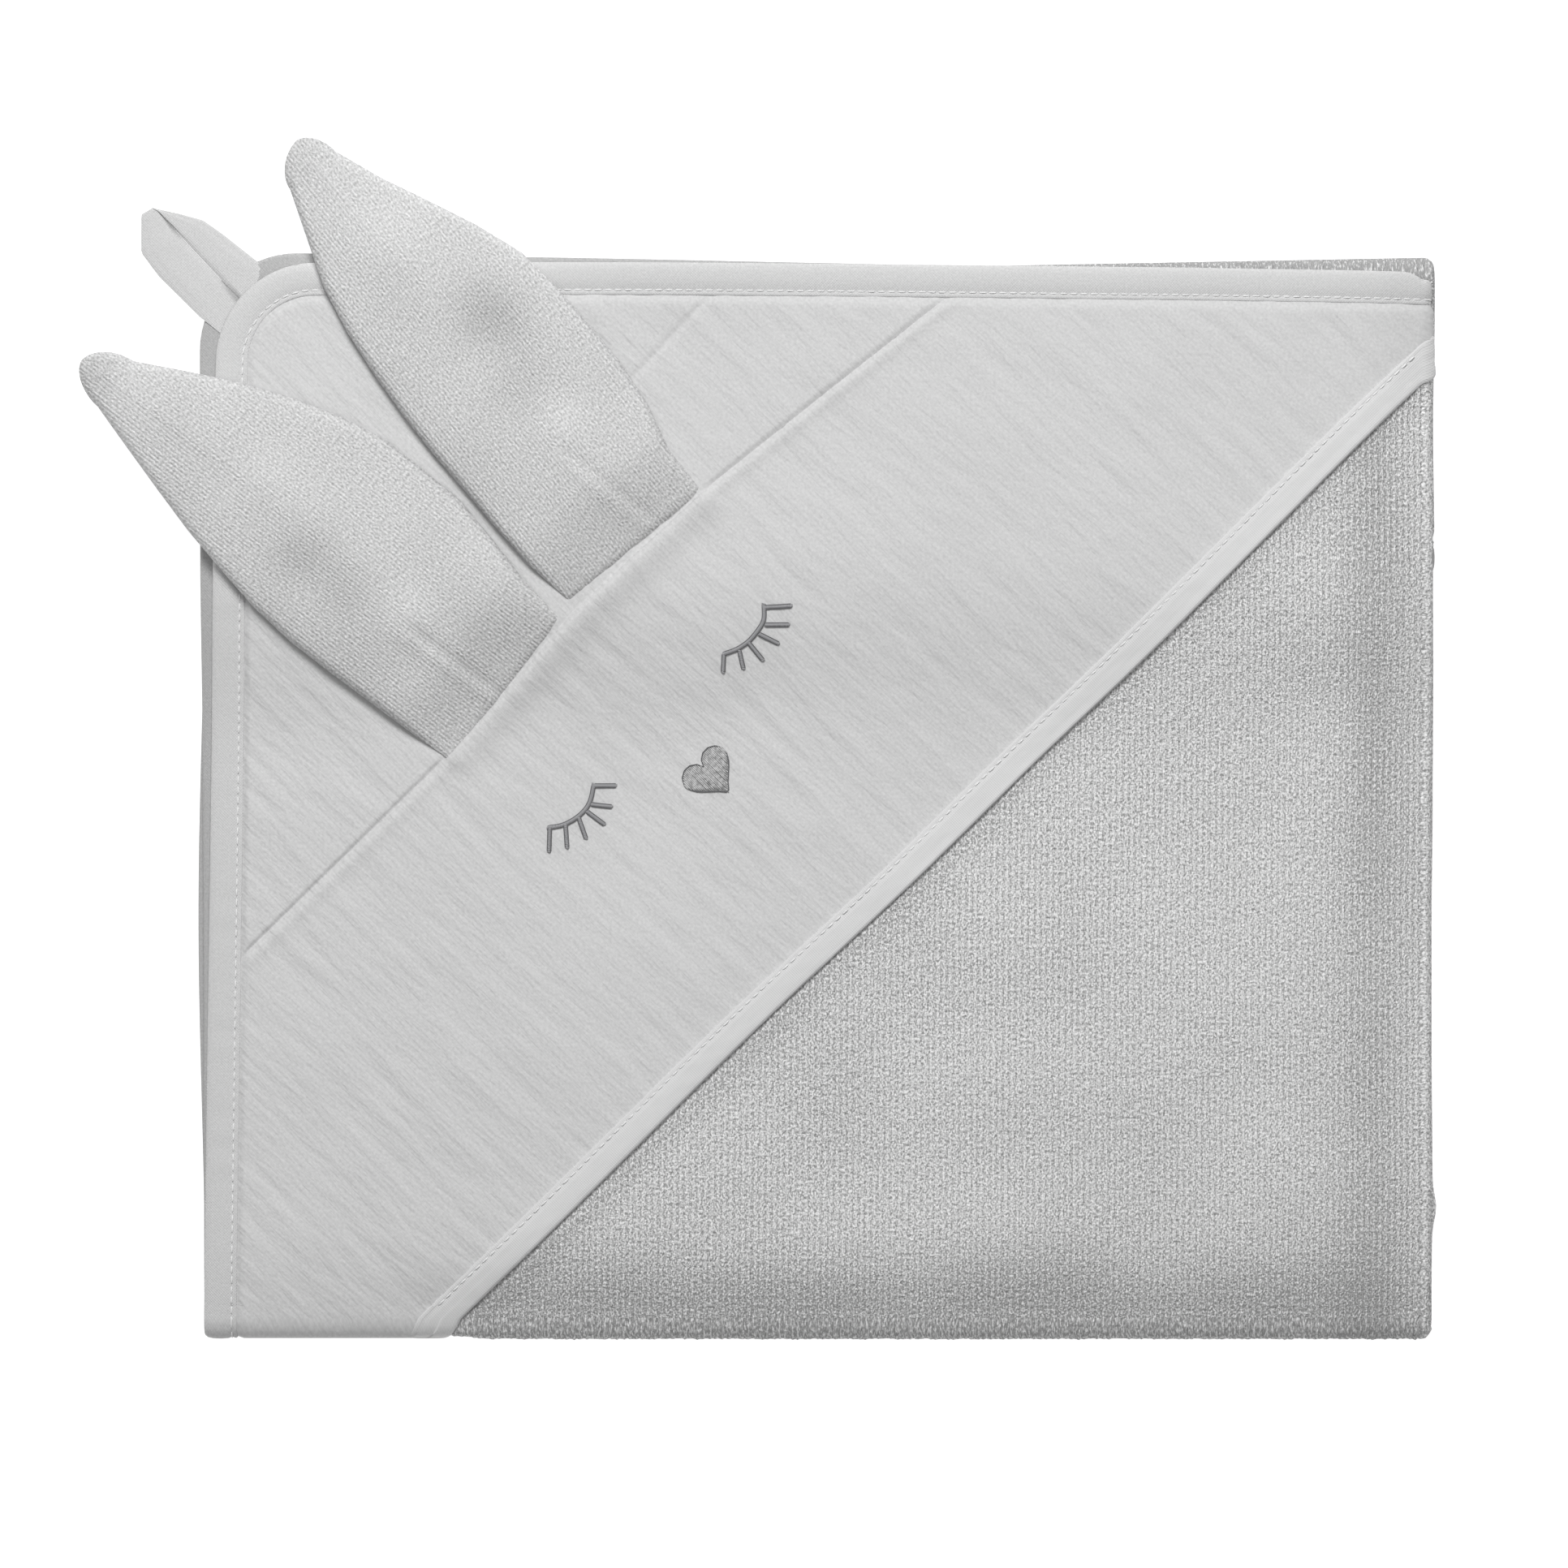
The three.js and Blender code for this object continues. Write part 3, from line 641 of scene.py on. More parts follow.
def border_distance(u, v):
    """Distance in the flat from the towel's edge, with its rounded corners."""
    a = np.minimum(u, CLOTH_U - u)
    b = np.minimum(v, CLOTH_V - v)
    corner = CORNER - np.hypot(CORNER - a, CORNER - b)
    return np.where((a < CORNER) & (b < CORNER), corner, np.minimum(a, b))


def past_border(u, v):
    """0 in the border that the tape holds, 1 in the full pile."""
    return smooth((border_distance(u, v) - CHANNEL + 2.0) / 4.0)


def terry_face(u, v):
    """Height of the terry's outer face above its middle."""
    rise = past_border(u, v)
    under_hood = 0.5 * smooth((OPENING + 2 - u - v) / 5)
    under_tail = 0.7 * smooth((v - ROW_1 - 2) / 4) * smooth((OPENING + 9 - u - v) / 5)
    return BORDER + (HALF - BORDER - under_hood - under_tail) * rise


def terry_inner(u, v):
    return -(BORDER + (HALF - BORDER) * past_border(u, v))


print("terry is", TERRY, "mm thick, and", 2 * BORDER, "mm inside the tape")

# %% [markdown]
# The grid of the cloth follows the rounded corners, and its lines lie closer together at each
# turn. An even grid would be coarse round the folds or needlessly fine everywhere else.

# %% Grid of the pattern
INSET = 0.6                      # terry ends this far inside the tape's outer edge


def row_start(v):
    """Flat distance the rounded corner takes off each end of a row of the pattern."""
    b = np.minimum(v, CLOTH_V - v)
    t = np.clip(CORNER - b, 0, CORNER)
    return np.where(b < CORNER, CORNER - np.sqrt(np.maximum(CORNER**2 - t**2, 0)), 0.0)


def stops(low, high, pitch):
    """Values from low to high about pitch apart, finer where the cloth turns."""
    turns = [(ROW_1, ROW_2_START), (FAR_TURN_START, ROW_3_START)]
    marks = sorted([low, high] + [m for turn in turns for m in turn if low < m < high])
    values = []
    for a, b in zip(marks[:-1], marks[1:]):
        turning = any(start < (a + b) / 2 < end for start, end in turns)
        fine = 0.8 if turning else pitch
        values.append(np.linspace(a, b, max(2, int((b - a) / fine) + 1))[:-1])
    return np.concatenate(values + [[high]])


def terry_grid(u_low, u_high, v_low, v_high, pitch):
    """A grid of the pattern that follows the rounded corners, just inside the tape."""
    v = stops(v_low, v_high, pitch)
    bend_end = HALF_WIDTH + BEND_LENGTH
    marks = [u_low] + [m for m in (HALF_WIDTH, bend_end) if u_low < m < u_high] + [u_high]
    share = []
    for a, b in zip(marks[:-1], marks[1:]):
        fine = 0.65 if HALF_WIDTH <= (a + b) / 2 <= bend_end else pitch
        share.append(np.linspace(a, b, int((b - a) / fine) + 2)[:-1])
    share = (np.concatenate(share + [[u_high]]) - u_low) / (u_high - u_low)
    start = row_start(np.clip(v, INSET, CLOTH_V - INSET)) + INSET
    low = np.maximum(u_low, start)[:, None]
    high = np.minimum(u_high, CLOTH_U - start)[:, None]
    return low + (high - low) * share[None, :], np.repeat(v[:, None], len(share), axis=1)


print("stops round the near fold", len(stops(ROW_1, ROW_2_START, 3.0)))

# %% [markdown]
# Terry is shaded along the near fold, the right-hand bend and the far fold, and it lies in a
# shadow beside the hood's opening tape. That shade is painted into the colour, point by point,
# with a slow random change of tone.

# %% Terry layers


def terry_painted_shading_and_tone(u, v):
    """Painted shade along the folds and the bend, painted shadow beside the hood's tape, and a slow
    random tone.
    """
    near = np.clip(np.abs(v - ROW_1 - TURN_LENGTH / 2) - TURN_LENGTH / 2, 0, None)
    far = np.clip(np.abs(v - FAR_TURN_START - TURN_LENGTH / 2) - TURN_LENGTH / 2, 0, None)
    side = np.clip(np.abs(u - CLOTH_U / 2) - BEND_LENGTH / 2, 0, None)
    beside = np.clip(u + v - OPENING, 0, None)
    ragged = drift(u, v, 32, 14)
    # Painted shade in bands along the near fold, the right-hand bend and the far fold, and a painted
    # shadow beside the hood's tape; slow is a random change of tone.
    shade_at_near_fold = 0.17 * np.exp(-((near / (17 + 6 * ragged)) ** 2))
    shade_at_side_bend = 0.13 * np.exp(-(((side - 15) / (10 + 3 * ragged)) ** 2))
    shade_at_far_fold = 0.34 * np.exp(-((far / 7) ** 2))
    shadow_beside_hood = 0.12 * np.exp(-((beside / 8) ** 2)) * (v < ROW_1)
    slow = 0.035 * drift(u, v, 24, 15)
    return np.minimum(shade_at_near_fold + shade_at_side_bend + shade_at_far_fold + shadow_beside_hood + slow, 0.34)


def terry_part(name, u_range, v_range, pitch):
    u, v = terry_grid(*u_range, *v_range, pitch)
    thing = cloth_skin(name, u, v, terry_face(u, v), terry_inner(u, v), terry_cloth)
    painted_shading_and_tone = terry_painted_shading_and_tone(u, v).ravel()
    return give_painted_shading(thing, np.concatenate([painted_shading_and_tone, painted_shading_and_tone]))


WHOLE = (INSET, CLOTH_U - INSET)
OUTER_LAYER = (INSET, CLOTH_U / 2)
INNER_LAYER = (CLOTH_U / 2, WHOLE[1])
NEAR_FOLD = (UPPER_END, LOWER_START)
front = terry_part("towel_front", WHOLE, (INSET, UPPER_END), 2.4)
back = terry_part("towel_back", WHOLE, (LOWER_START, CLOTH_V - INSET), 3.0)
fold_outer = terry_part("towel_near_fold_outer", OUTER_LAYER, NEAR_FOLD, 2.4)
fold_inner = terry_part("towel_near_fold_inner", INNER_LAYER, NEAR_FOLD, 2.4)
for part in (front, back, fold_outer, fold_inner):
    print(part.name, len(part.data.polygons), "faces")

# %% [markdown]
# The part of the front that shows gets its pile as real relief: loops stand in wales that
# run down the cloth, a little uneven, with rows crossing them near the fold. On the side that
# lies on the table the loops are pressed flat.

# %% Terry pile


def opening_line(v):
    """u + v at the outer edge of the hood's opening, which bows a little."""
    waver = 1.1 * drift(v, 0 * v, 46, 12) * smooth((300 - v) / 60)
    return 406.0 - 7.0 * np.clip(v / 320, 0, 1.1) + waver


def pile_relief(u, v):
    wander = 0.5 * drift(u, v, 17, 21)
    wale = np.cos(2 * math.pi * (u + wander) / TERRY_WALE)
    loops = drift(u, 0.6 * v, 1.1, 22)
    tufts = drift(u, v, 3.2, 23)
    rows = np.cos(2 * math.pi * v / 3.4) * smooth((v - ROW_1 + 40) / 30)
    return 0.13 * wale + 0.24 * loops + 0.10 * tufts + 0.08 * rows


PILE_COLUMNS = 400
PILE_START = 28                  # the first place down the cloth where terry shows
UNDER_OPENING = 5                # how far the pile runs in under the hood's tape


def pile_patch(name, v_low, v_high, pitch_v):
    v = stops(v_low, v_high, pitch_v)
    low = np.maximum(opening_line(v) - UNDER_OPENING - v, CHANNEL + 0.4)
    high = np.full_like(v, HALF_WIDTH + BEND_LENGTH * 0.6)
    u = low[:, None] + (high - low)[:, None] * np.linspace(0, 1, PILE_COLUMNS)[None, :]
    v = np.repeat(v[:, None], PILE_COLUMNS, axis=1)
    edge = smooth((border_distance(u, v) - CHANNEL) / 2)
    pressed = smooth((v - ROW_1 - 0.5 * TURN_LENGTH) / (0.4 * TURN_LENGTH))
    loops = (0.12 + pile_relief(u, v) * edge) * (1 - pressed) - 0.3 * (1 - edge)
    top = fold_map(u, v, terry_face(u, v) + loops)
    pile = make_object(name, top, grid_faces(*u.shape), flat_places(u, v), terry_cloth)
    return give_painted_shading(pile, terry_painted_shading_and_tone(u, v))


pile_front = pile_patch("pile_front", PILE_START, UPPER_END, 1.25)
pile_fold = pile_patch("pile_near_fold", UPPER_END, LOWER_START, 0.8)
print("pile", len(pile_front.data.polygons), "faces")

# %% [markdown]
# ## Edge binding
# Bias tape is folded over the raw edge and stitched down near its inner lip, on both faces.
# Its section is one closed loop: up over the edge, down the other side, and back along the
# inside. The stitch line pulls a groove into it. The section is swept along the edge of the
# pattern, round the corners, and folded with everything else.

# %% Section and path of the tape
LIP = BORDER + TAPE
STITCH_GROOVE = 8.4
SECTION = np.array([
    (10.0, BORDER), (10.05, LIP - 0.1), (9.5, LIP + 0.22), (8.8, LIP), (STITCH_GROOVE, LIP - 0.12),
    (8.0, LIP), (7.2, LIP + 0.3), (5.0, LIP + 0.45), (2.6, LIP + 0.35), (1.0, LIP),
    (0.25, 0.55), (0.0, 0.0), (0.25, -0.55), (1.0, -LIP), (5.0, -LIP - 0.1), (10.0, -LIP),
    (10.0, -BORDER), (1.2, -BORDER), (0.9, 0.0), (1.2, BORDER)])


def line_marks(low, high, pitch, turns):
    """Shares from 0 to 1 along a line from low to high, with finer steps in the turns."""
    marks = list(np.linspace(0, 1, max(2, int(abs(high - low) / pitch) + 1)))
    for start, end, count in turns:
        marks += [(m - low) / (high - low) for m in np.linspace(start, end, count)]
    return sorted(m for m in marks if 0 <= m <= 1)


def edge_path(legs, pitch=2.0):
    """Points of the outer edge and inward directions. legs are lines or corner arcs."""
    across = [(HALF_WIDTH - 1, HALF_WIDTH + BEND_LENGTH + 1, 12)]
    along = [(ROW_1, ROW_1 + TURN_LENGTH, 13), (FAR_TURN_START, FAR_TURN_START + TURN_LENGTH, 13)]
    points, inward = [], []
    for kind, *leg in legs:
        if kind == "line":
            (u0, v0), (u1, v1), normal = leg
            marks = line_marks(u0, u1, pitch, across) if u0 != u1 else line_marks(v0, v1, pitch, along)
            points += [(u0 + (u1 - u0) * t, v0 + (v1 - v0) * t) for t in marks]
            inward += [normal] * len(marks)
        else:
            (cu, cv), start, end = leg
            for angle in np.radians(np.linspace(start, end, 16)):
                points.append((cu + CORNER * math.cos(angle), cv + CORNER * math.sin(angle)))
                inward.append((-math.cos(angle), -math.sin(angle)))
    points, inward = np.array(points), np.array(inward)
    keep = np.r_[True, np.hypot(*np.diff(points, axis=0).T) > 0.05]
    return points[keep], inward[keep]


print("section of the tape", len(SECTION), "points")

# %% [markdown]
# The sweep could be a curve with a bevel, but a bevelled curve would not fold with the cloth
# and would lose the pattern attribute. So the rings are laid by hand, and both ends are capped.

# %% Sweeping the tape


def end_caps(ring_start, order):
    """Quads that close one end of the tape, across its hollow section."""
    last = len(SECTION) - 1
    quads = []
    for a in range(9):
        quad = [ring_start + i for i in (a, a + 1, last - 1 - a, last - a)]
        quads.append(quad[::order])
    return quads


def binding(name, legs):
    points, inward = edge_path(legs)
    flat = points[:, None, :] + inward[:, None, :] * SECTION[None, :, 0, None]
    u, v = flat[..., 0], flat[..., 1]
    along = np.r_[0, np.cumsum(np.hypot(*np.diff(points, axis=0).T))]
    pucker = 0.14 * np.sin(along / 3.2 * 2) * drift(along, along * 0, 14, 31)
    outside = (SECTION[:, 1] > LIP - 0.2) * (SECTION[:, 0] > 1.5)
    height = SECTION[None, :, 1] + pucker[:, None] * outside
    rows, columns = u.shape
    index = np.arange(rows * columns).reshape(rows, columns)
    ahead = np.roll(index, -1, axis=1)
    quads = np.stack([index[:-1], index[1:], ahead[1:], ahead[:-1]], axis=-1).reshape(-1, 4)
    caps = end_caps(0, 1) + end_caps((rows - 1) * columns, -1)
    tape = make_object(name, fold_map(u, v, height), quads.tolist() + caps, flat_places(u, v), tape_cloth)
    ends = np.array([e.vertices[:] for e in tape.data.edges])
    at_end = (ends < columns).all(axis=1) | (ends >= (rows - 1) * columns).all(axis=1)
    mark = tape.data.attributes.new("sharp_edge", "BOOLEAN", "EDGE")
    mark.data.foreach_set("value", at_end)
    # Painted shade: the lower layers' tape lies under the top layer, so its colour is darkened.
    below = np.maximum(u > CLOTH_U / 2, smooth((v - ROW_1) / TURN_LENGTH))
    return give_painted_shading(tape, 0.24 * below)


print("a cap has", len(end_caps(0, 1)), "faces")

# %% [markdown]
# The path runs once round the square. It starts and ends at the near fold, so the strip comes
# in four pieces: the front's, the back's and two that bend. The lower layers' tape lies in the
# shade of the top one, and that shade is painted into its colour.

# %% Edge binding
LEFT, RIGHT, DOWN, UP = (1, 0), (-1, 0), (0, 1), (0, -1)
U_END, V_END = CLOTH_U, CLOTH_V
front_legs = [
    ("line", (0, UPPER_END), (0, CORNER), LEFT),
    ("arc", (CORNER, CORNER), 180, 270),
    ("line", (CORNER, 0), (U_END - CORNER, 0), DOWN),
    ("arc", (U_END - CORNER, CORNER), 270, 360),
    ("line", (U_END, CORNER), (U_END, UPPER_END), RIGHT)]
back_legs = [
    ("line", (U_END, LOWER_START), (U_END, V_END - CORNER), RIGHT),
    ("arc", (U_END - CORNER, V_END - CORNER), 0, 90),
    ("line", (U_END - CORNER, V_END), (CORNER, V_END), UP),
    ("arc", (CORNER, V_END - CORNER), 90, 180),
    ("line", (0, V_END - CORNER), (0, LOWER_START), LEFT)]
outer_legs = [("line", (0, LOWER_START), (0, UPPER_END), LEFT)]
inner_legs = [("line", (U_END, UPPER_END), (U_END, LOWER_START), RIGHT)]
tape_front = binding("binding_front", front_legs)
tape_back = binding("binding_back", back_legs)
tape_outer = binding("binding_near_fold_outer", outer_legs)
tape_inner = binding("binding_near_fold_inner", inner_legs)
print("bindings", [len(t.data.polygons) for t in (tape_front, tape_back, tape_outer, tape_inner)])

# %% [markdown]
# ## Hood
# Two muslin panels, joined along a seam parallel to the opening. Muslin that has been
# washed keeps short creases, which run mostly from the seam to the opening. The opening edge
# is bound in its own tape. The hood is wider than the folded towel, so one end goes round the
# near fold, and the other ends on the bend at the right.

# %% Seam and creases
HOOD_CLOTH = 0.9
SEAM_V = (9, 68, 106, 150, 208)
SEAM_SUM = (234.0, 219.4, 216.1, 222.0, 221.0)
EAR_STRETCH = (-58, 61)          # where the ears are caught, along the seam


def seam_line(v):
    """u + v at the ear seam."""
    return np.interp(v, SEAM_V, SEAM_SUM)


def bump_at(distance, width):
    """A smooth bump, 1 at distance 0 and gone a few widths away."""
    return np.exp(-((distance / width) ** 2))


def creases(u, v):
    """Short soft creases that run from seam to opening, longer than they are wide."""
    across, along = (u - v) / math.sqrt(2), (u + v) / math.sqrt(2)
    bent = across + 1.6 * drift(along, across, 28, 41)
    fine = drift(along / 7.0, bent, 1.5, 42)
    wide = drift(along / 6.0, bent, 4.0, 43)
    broad = drift(along, across, 15, 44)
    tuck = bump_at(u + v - 163 - 2 * drift(u, v, 30, 45), 1.3) * smooth((u - v - 88) / 10)
    return 0.20 * fine + 0.30 * wide + 0.16 * broad - 0.5 * tuck


def ear_span(u, v):
    """1 along the stretch of seam where the ears are caught."""
    across = (u - v) / math.sqrt(2)
    low, high = EAR_STRETCH
    return smooth((across - low) / 5) * smooth((high - across) / 5)


print("seam at the left edge, u + v", float(seam_line(208)))

# %% [markdown]
# The muslin lies on the terry, so its height starts from the terry's. At the seam it is
# pulled in along a narrow line. Where the ears are caught, their turned ends lift the face
# panel instead, and the ears come out from under its edge.

# %% Hood


def hood_base(u, v):
    return terry_face(u, v) + 0.05


def hood_height(u, v):
    """Outer face of the muslin, tucked under the tape at the towel's edge."""
    tuck = smooth((border_distance(u, v) - TUCKED) / 3)
    tail = smooth((v - ROW_1 + 2) / 6)
    past = u + v - seam_line(v)
    span = ear_span(u, v)
    pinch = bump_at(past, 1.3) - 0.45 * bump_at(past - 3.5, 3.0)
    lift = 1.7 * smooth((past + 0.2) / 1.0) * bump_at(np.clip(past - 3, 0, None), 8)
    relief = creases(u, v) + 0.28 - 0.95 * pinch * (1 - 0.8 * span) + lift * span
    return hood_base(u, v) + (HOOD_CLOTH + relief * (1 - tail)) * tuck


def hood_panel(name, v_low, v_high, low_line, high_line, pitch):
    v = stops(v_low, v_high, pitch)
    drop = np.maximum((CORNER - TUCKED)**2 - (CORNER - v)**2, 0)
    arc = np.where(v < CORNER, CORNER - np.sqrt(drop), TUCKED)
    low = np.maximum(low_line(v), arc)
    high = np.maximum(np.minimum(high_line(v), HALF_WIDTH + BEND_LENGTH), low + 0.3)
    columns = int((high - low).max() / pitch) + 1
    u = low[:, None] + (high - low)[:, None] * np.linspace(0, 1, columns)[None, :]
    v = np.repeat(v[:, None], columns, axis=1)
    return cloth_skin(name, u, v, hood_height(u, v), hood_base(u, v), muslin_cloth)


def no_line(v):
    return np.zeros_like(v)


def seam_side(v):
    return seam_line(v) - v


def opening_side(v):
    return opening_line(v) - 11.0 - v


REAR_END = 211.0
TAIL_END = 378.0
rear_panel = hood_panel("muslin_rear", TUCKED, REAR_END, no_line, seam_side, 1.2)
face_panel = hood_panel("muslin_face", TUCKED, UPPER_END, seam_side, opening_side, 1.25)
face_fold = hood_panel("muslin_near_fold", *NEAR_FOLD, no_line, opening_side, 1.6)
face_tail = hood_panel("muslin_tail", LOWER_START, TAIL_END, no_line, opening_side, 1.6)
print("hood", [len(p.data.polygons) for p in (rear_panel, face_panel, face_fold, face_tail)])

# %% [markdown]
# The opening tape is a flat ribbon with a rolled outer lip, stitched near its inner edge.

# %% Opening tape
BEND_OVER = 50.0                 # the ribbon goes over the bend between its start and here
TAPE_MARKS = (0.0, 0.35, 1.2, 3.0, 6.0, 9.0, 10.6, 11.2, 11.8, 12.8, 13.4)
TAPE_RISES = (0.15, 0.9, 1.35, 1.5, 1.5, 1.4, 1.15, 1.0, 1.1, 1.15, 0.4)
TAPE_ACROSS = np.sort(np.concatenate([TAPE_MARKS, np.arange(1.8, 10.3, 0.7)]))
TAPE_RISE = np.interp(TAPE_ACROSS, TAPE_MARKS, TAPE_RISES)


def opening_tape(name, v_low, v_high):
    bend_over = max(v_low, min(BEND_OVER, v_high))
    fine = np.linspace(v_low, bend_over, int((bend_over - v_low) / 0.45) + 1)[:-1]
    v = np.concatenate([fine, stops(bend_over, v_high, 1.4)])
    total = opening_line(v)[:, None] - TAPE_ACROSS[None, :]
    u = np.minimum(np.maximum(total - v[:, None], TUCKED), HALF_WIDTH + BEND_LENGTH)
    v = np.repeat(v[:, None], len(TAPE_ACROSS), axis=1)
    along = (u - v) / math.sqrt(2)
    tail = smooth((v - ROW_1 + 2) / 6)
    pucker = 0.12 * drift(along, u + v, 3.0, 51) + 0.15 * drift(along, 0 * u, 22, 52)
    thin = (1 - 0.25 * tail) * (1 - 0.5 * smooth((u - HALF_WIDTH + 8) / 10))
    base = hood_base(u, v)
    tuck = smooth((border_distance(u, v) - TUCKED) / 3)
    raised = TAPE_RISE[None, :] * thin + (pucker + HOOD_CLOTH - 0.1) * (1 - tail)
    top = np.minimum(base + raised * (0.3 + 0.7 * tuck), HALF + 4 * (1 - tail))
    u, v, top, base = (a[:, ::-1] for a in (u, v, top, base))
    return cloth_skin(name, u, v, top, base - 0.05, opening_cloth)


RIBBON_START = 18.5
RIBBON_END = 389.5
ribbon_front = opening_tape("opening_tape_front", RIBBON_START, UPPER_END)
ribbon_fold = opening_tape("opening_tape_near_fold", *NEAR_FOLD)
ribbon_tail = opening_tape("opening_tape_tail", LOWER_START, RIBBON_END)
print("opening tape", len(ribbon_front.data.polygons), "faces")

# %% [markdown]
# ## Ears
# Each ear is two layers of ribbed velour sewn right sides together, turned out and lightly
# pressed, so it is softly puffed with a rolled edge. A pleat at its root gathers it. It is
# drawn in its own frame: length from the seam, and a share of the half width either side.

# %% Ears
EAR_ALONG = (0, 15, 30, 45, 60, 75, 90, 105, 120, 135, 150)
UPPER = {
    "name": "upper", "base": (-56, 78), "axis": 129.9, "length": 160.0,
    "left": (26.3, 28.6, 29.1, 29.2, 29.4, 28.9, 27.7, 25.8, 22.6, 16.9, 11.2),
    "right": (26, 26.2, 30.2, 32, 32.1, 31.7, 30.4, 25.3, 18.9, 12.2, 6.8),
    "pleat": ((-82.6, 108.9), (-52.0, 85.9)), "seed": 61,
    "dents": ((-99, 143, 11, 2.6), (-93, 125, 10, 1.7), (-77, 113, 8, -1.6), (-130, 170, 12, -1.0))}
LOWER = {
    "name": "lower", "base": (-96, 34), "axis": 142.0, "length": 162.5,
    "left": (27, 27.7, 28, 28.4, 28.4, 27, 24.1, 21, 16.9, 12.6, 8.2),
    "right": (27.6, 29.9, 33.8, 37.1, 37.6, 37.7, 34.8, 30.3, 24.3, 17.1, 9.4),
    "pleat": ((-131.7, 56.6), (-97.6, 32.0)), "seed": 71,
    "dents": ((-158, 69, 11, 2.6), (-144, 59, 9, 1.7), (-124, 55, 8, -1.6), (-165, 92, 12, -1.0))}
EAR_REST = 1.0


def hood_top(x, y):
    """Height of the hood's outer face above the table, at a place seen from above."""
    inside_y = np.minimum(y, FRONT_TOP - 6)
    return FOLD_Z + TURN + climb(inside_y) + PAIR_OFFSET + 2.35 + loft(np.maximum(x, -184), inside_y)


def half_width(ear, side, s):
    end = np.clip((s - EAR_ALONG[-1]) / (ear["length"] - EAR_ALONG[-1]), 0, 1)
    return np.interp(s, EAR_ALONG, ear[side]) * np.maximum(1 - end**1.7, 1e-4) ** 0.55


def ear_grid(ear):
    """Length from the seam, signed distance from the axis, and distance to the rim."""
    tip = (ear["length"] - 150) * np.linspace(0.96, 0, 18) ** 2
    s = np.concatenate([np.linspace(-3, 150, 110), ear["length"] - tip])
    w = np.sin(np.linspace(-1, 1, 61) * math.pi / 2)
    s, w = np.meshgrid(s, w, indexing="ij")
    wide = np.where(w < 0, half_width(ear, "right", s), half_width(ear, "left", s))
    rim = np.clip((1 - np.abs(w)) * wide, 0, None)
    end = np.clip(ear["length"] - s, 0, None)
    return s, w * wide, np.minimum(rim, end + 0.2)


def ear_dents(ear, x, y):
    """How far a pleat and the round dents press an ear's outer face down."""
    (px, py), (qx, qy) = ear["pleat"]
    run = math.hypot(qx - px, qy - py)
    t = np.clip(((x - px) * (qx - px) + (y - py) * (qy - py)) / run**2, 0, 1)
    gap = ((x - px) * (qy - py) - (y - py) * (qx - px)) / run
    beyond = np.hypot(x - px - t * (qx - px), y - py - t * (qy - py)) - np.abs(gap)
    pleat = 0.8 * np.exp(-(((gap + 0.9) / 1.2) ** 2)) - 0.5 * np.exp(-(((gap - 1.6) / 2.2) ** 2))
    dent = pleat * smooth(t / 0.35) * np.exp(-beyond / 2)
    for dent_x, dent_y, radius, depth in ear["dents"]:
        dent = dent + depth * np.exp(-((x - dent_x) ** 2 + (y - dent_y) ** 2) / radius**2)
    return dent


print("ear grid", ear_grid(UPPER)[0].shape)

# %% [markdown]
# The lining lies on the hood and the outer layer lies on the lining. Both are flat at the
# root, where they dive under the face panel's edge, and puff up towards the middle. Painted
# shade darkens the dents, the pleat, the root and the tip, and painted light brightens the raised
# bumps, with a little random tone.

# %% Ear layers


def ear_layer(ear, upper):
    angle = math.radians(ear["axis"])
    ax, ay = math.cos(angle), math.sin(angle)
    s, side, rim = ear_grid(ear)
    x = ear["base"][0] + ax * s - ay * side
    y = ear["base"][1] + ay * s + ax * side
    round_off = np.sqrt(np.clip(1 - (1 - np.clip(rim / 2.8, 0, 1)) ** 2, 0, 1))
    belly = 1 - np.exp(-rim / 9)
    root = smooth((s + 3) / 26)
    puff = 0.9 * drift(x, y, 36, ear["seed"]) + 0.45 * drift(x, y, 14, ear["seed"] + 1)
    dent = ear_dents(ear, x, y)
    floor_z = hood_top(x, y) + EAR_REST * root
    over = np.clip(y - 163, 0, None) + np.clip(-187 - x, 0, None)
    sewn = smooth((0.4 - s) / 2.4)
    floor_z = floor_z - 0.055 * over - 0.3 * (1 - root) - 4.0 * sewn
    full = 0.22 + 0.78 * root
    middle = floor_z + (1.5 * round_off + 0.9) * full
    if upper:
        rise = (1.8 * round_off + (2.8 + puff) * belly) * (0.12 + 0.88 * root)
        rise = np.maximum(rise - dent * belly, 0.9 * round_off * full)
        ribs = 0.05 * drift(s / 6, side, 1.6, 75) * round_off
        grain = 0.06 * drift(x, y, 1.4, 76) * round_off
        top, bottom = middle + rise + ribs + grain, middle + 0.02 * round_off
    else:
        top, bottom = middle, middle - 1.7 * round_off * full
    points_top = np.stack([x, y, top], axis=-1).reshape(-1, 3)
    points_low = np.stack([x, y, bottom - 0.01], axis=-1).reshape(-1, 3)
    name = f"{ear['name']}_ear_{'outer' if upper else 'lining'}"
    thing = closed_skin(name, points_top, points_low, *s.shape, side, s, ear_cloth, True, False)
    # Painted shade at the root and the tip, in the dents and along the pleat, painted light on raised
    # bumps, plus a little random tone.
    ends = 0.05 * np.exp(-((s / 7) ** 2)) + 0.06 * smooth((s - ear["length"] + 16) / 14)
    painted_shading_and_tone = np.clip(0.04 * dent, -0.06, 0.12) + ends + 0.025 * drift(x, y, 13, ear["seed"] + 2)
    return give_painted_shading(thing, np.concatenate([painted_shading_and_tone.ravel(), painted_shading_and_tone.ravel()]))


ears = {(ear["name"], upper): ear_layer(ear, upper) for ear in (UPPER, LOWER) for upper in (True, False)}
print("ears", [e.name for e in ears.values()])

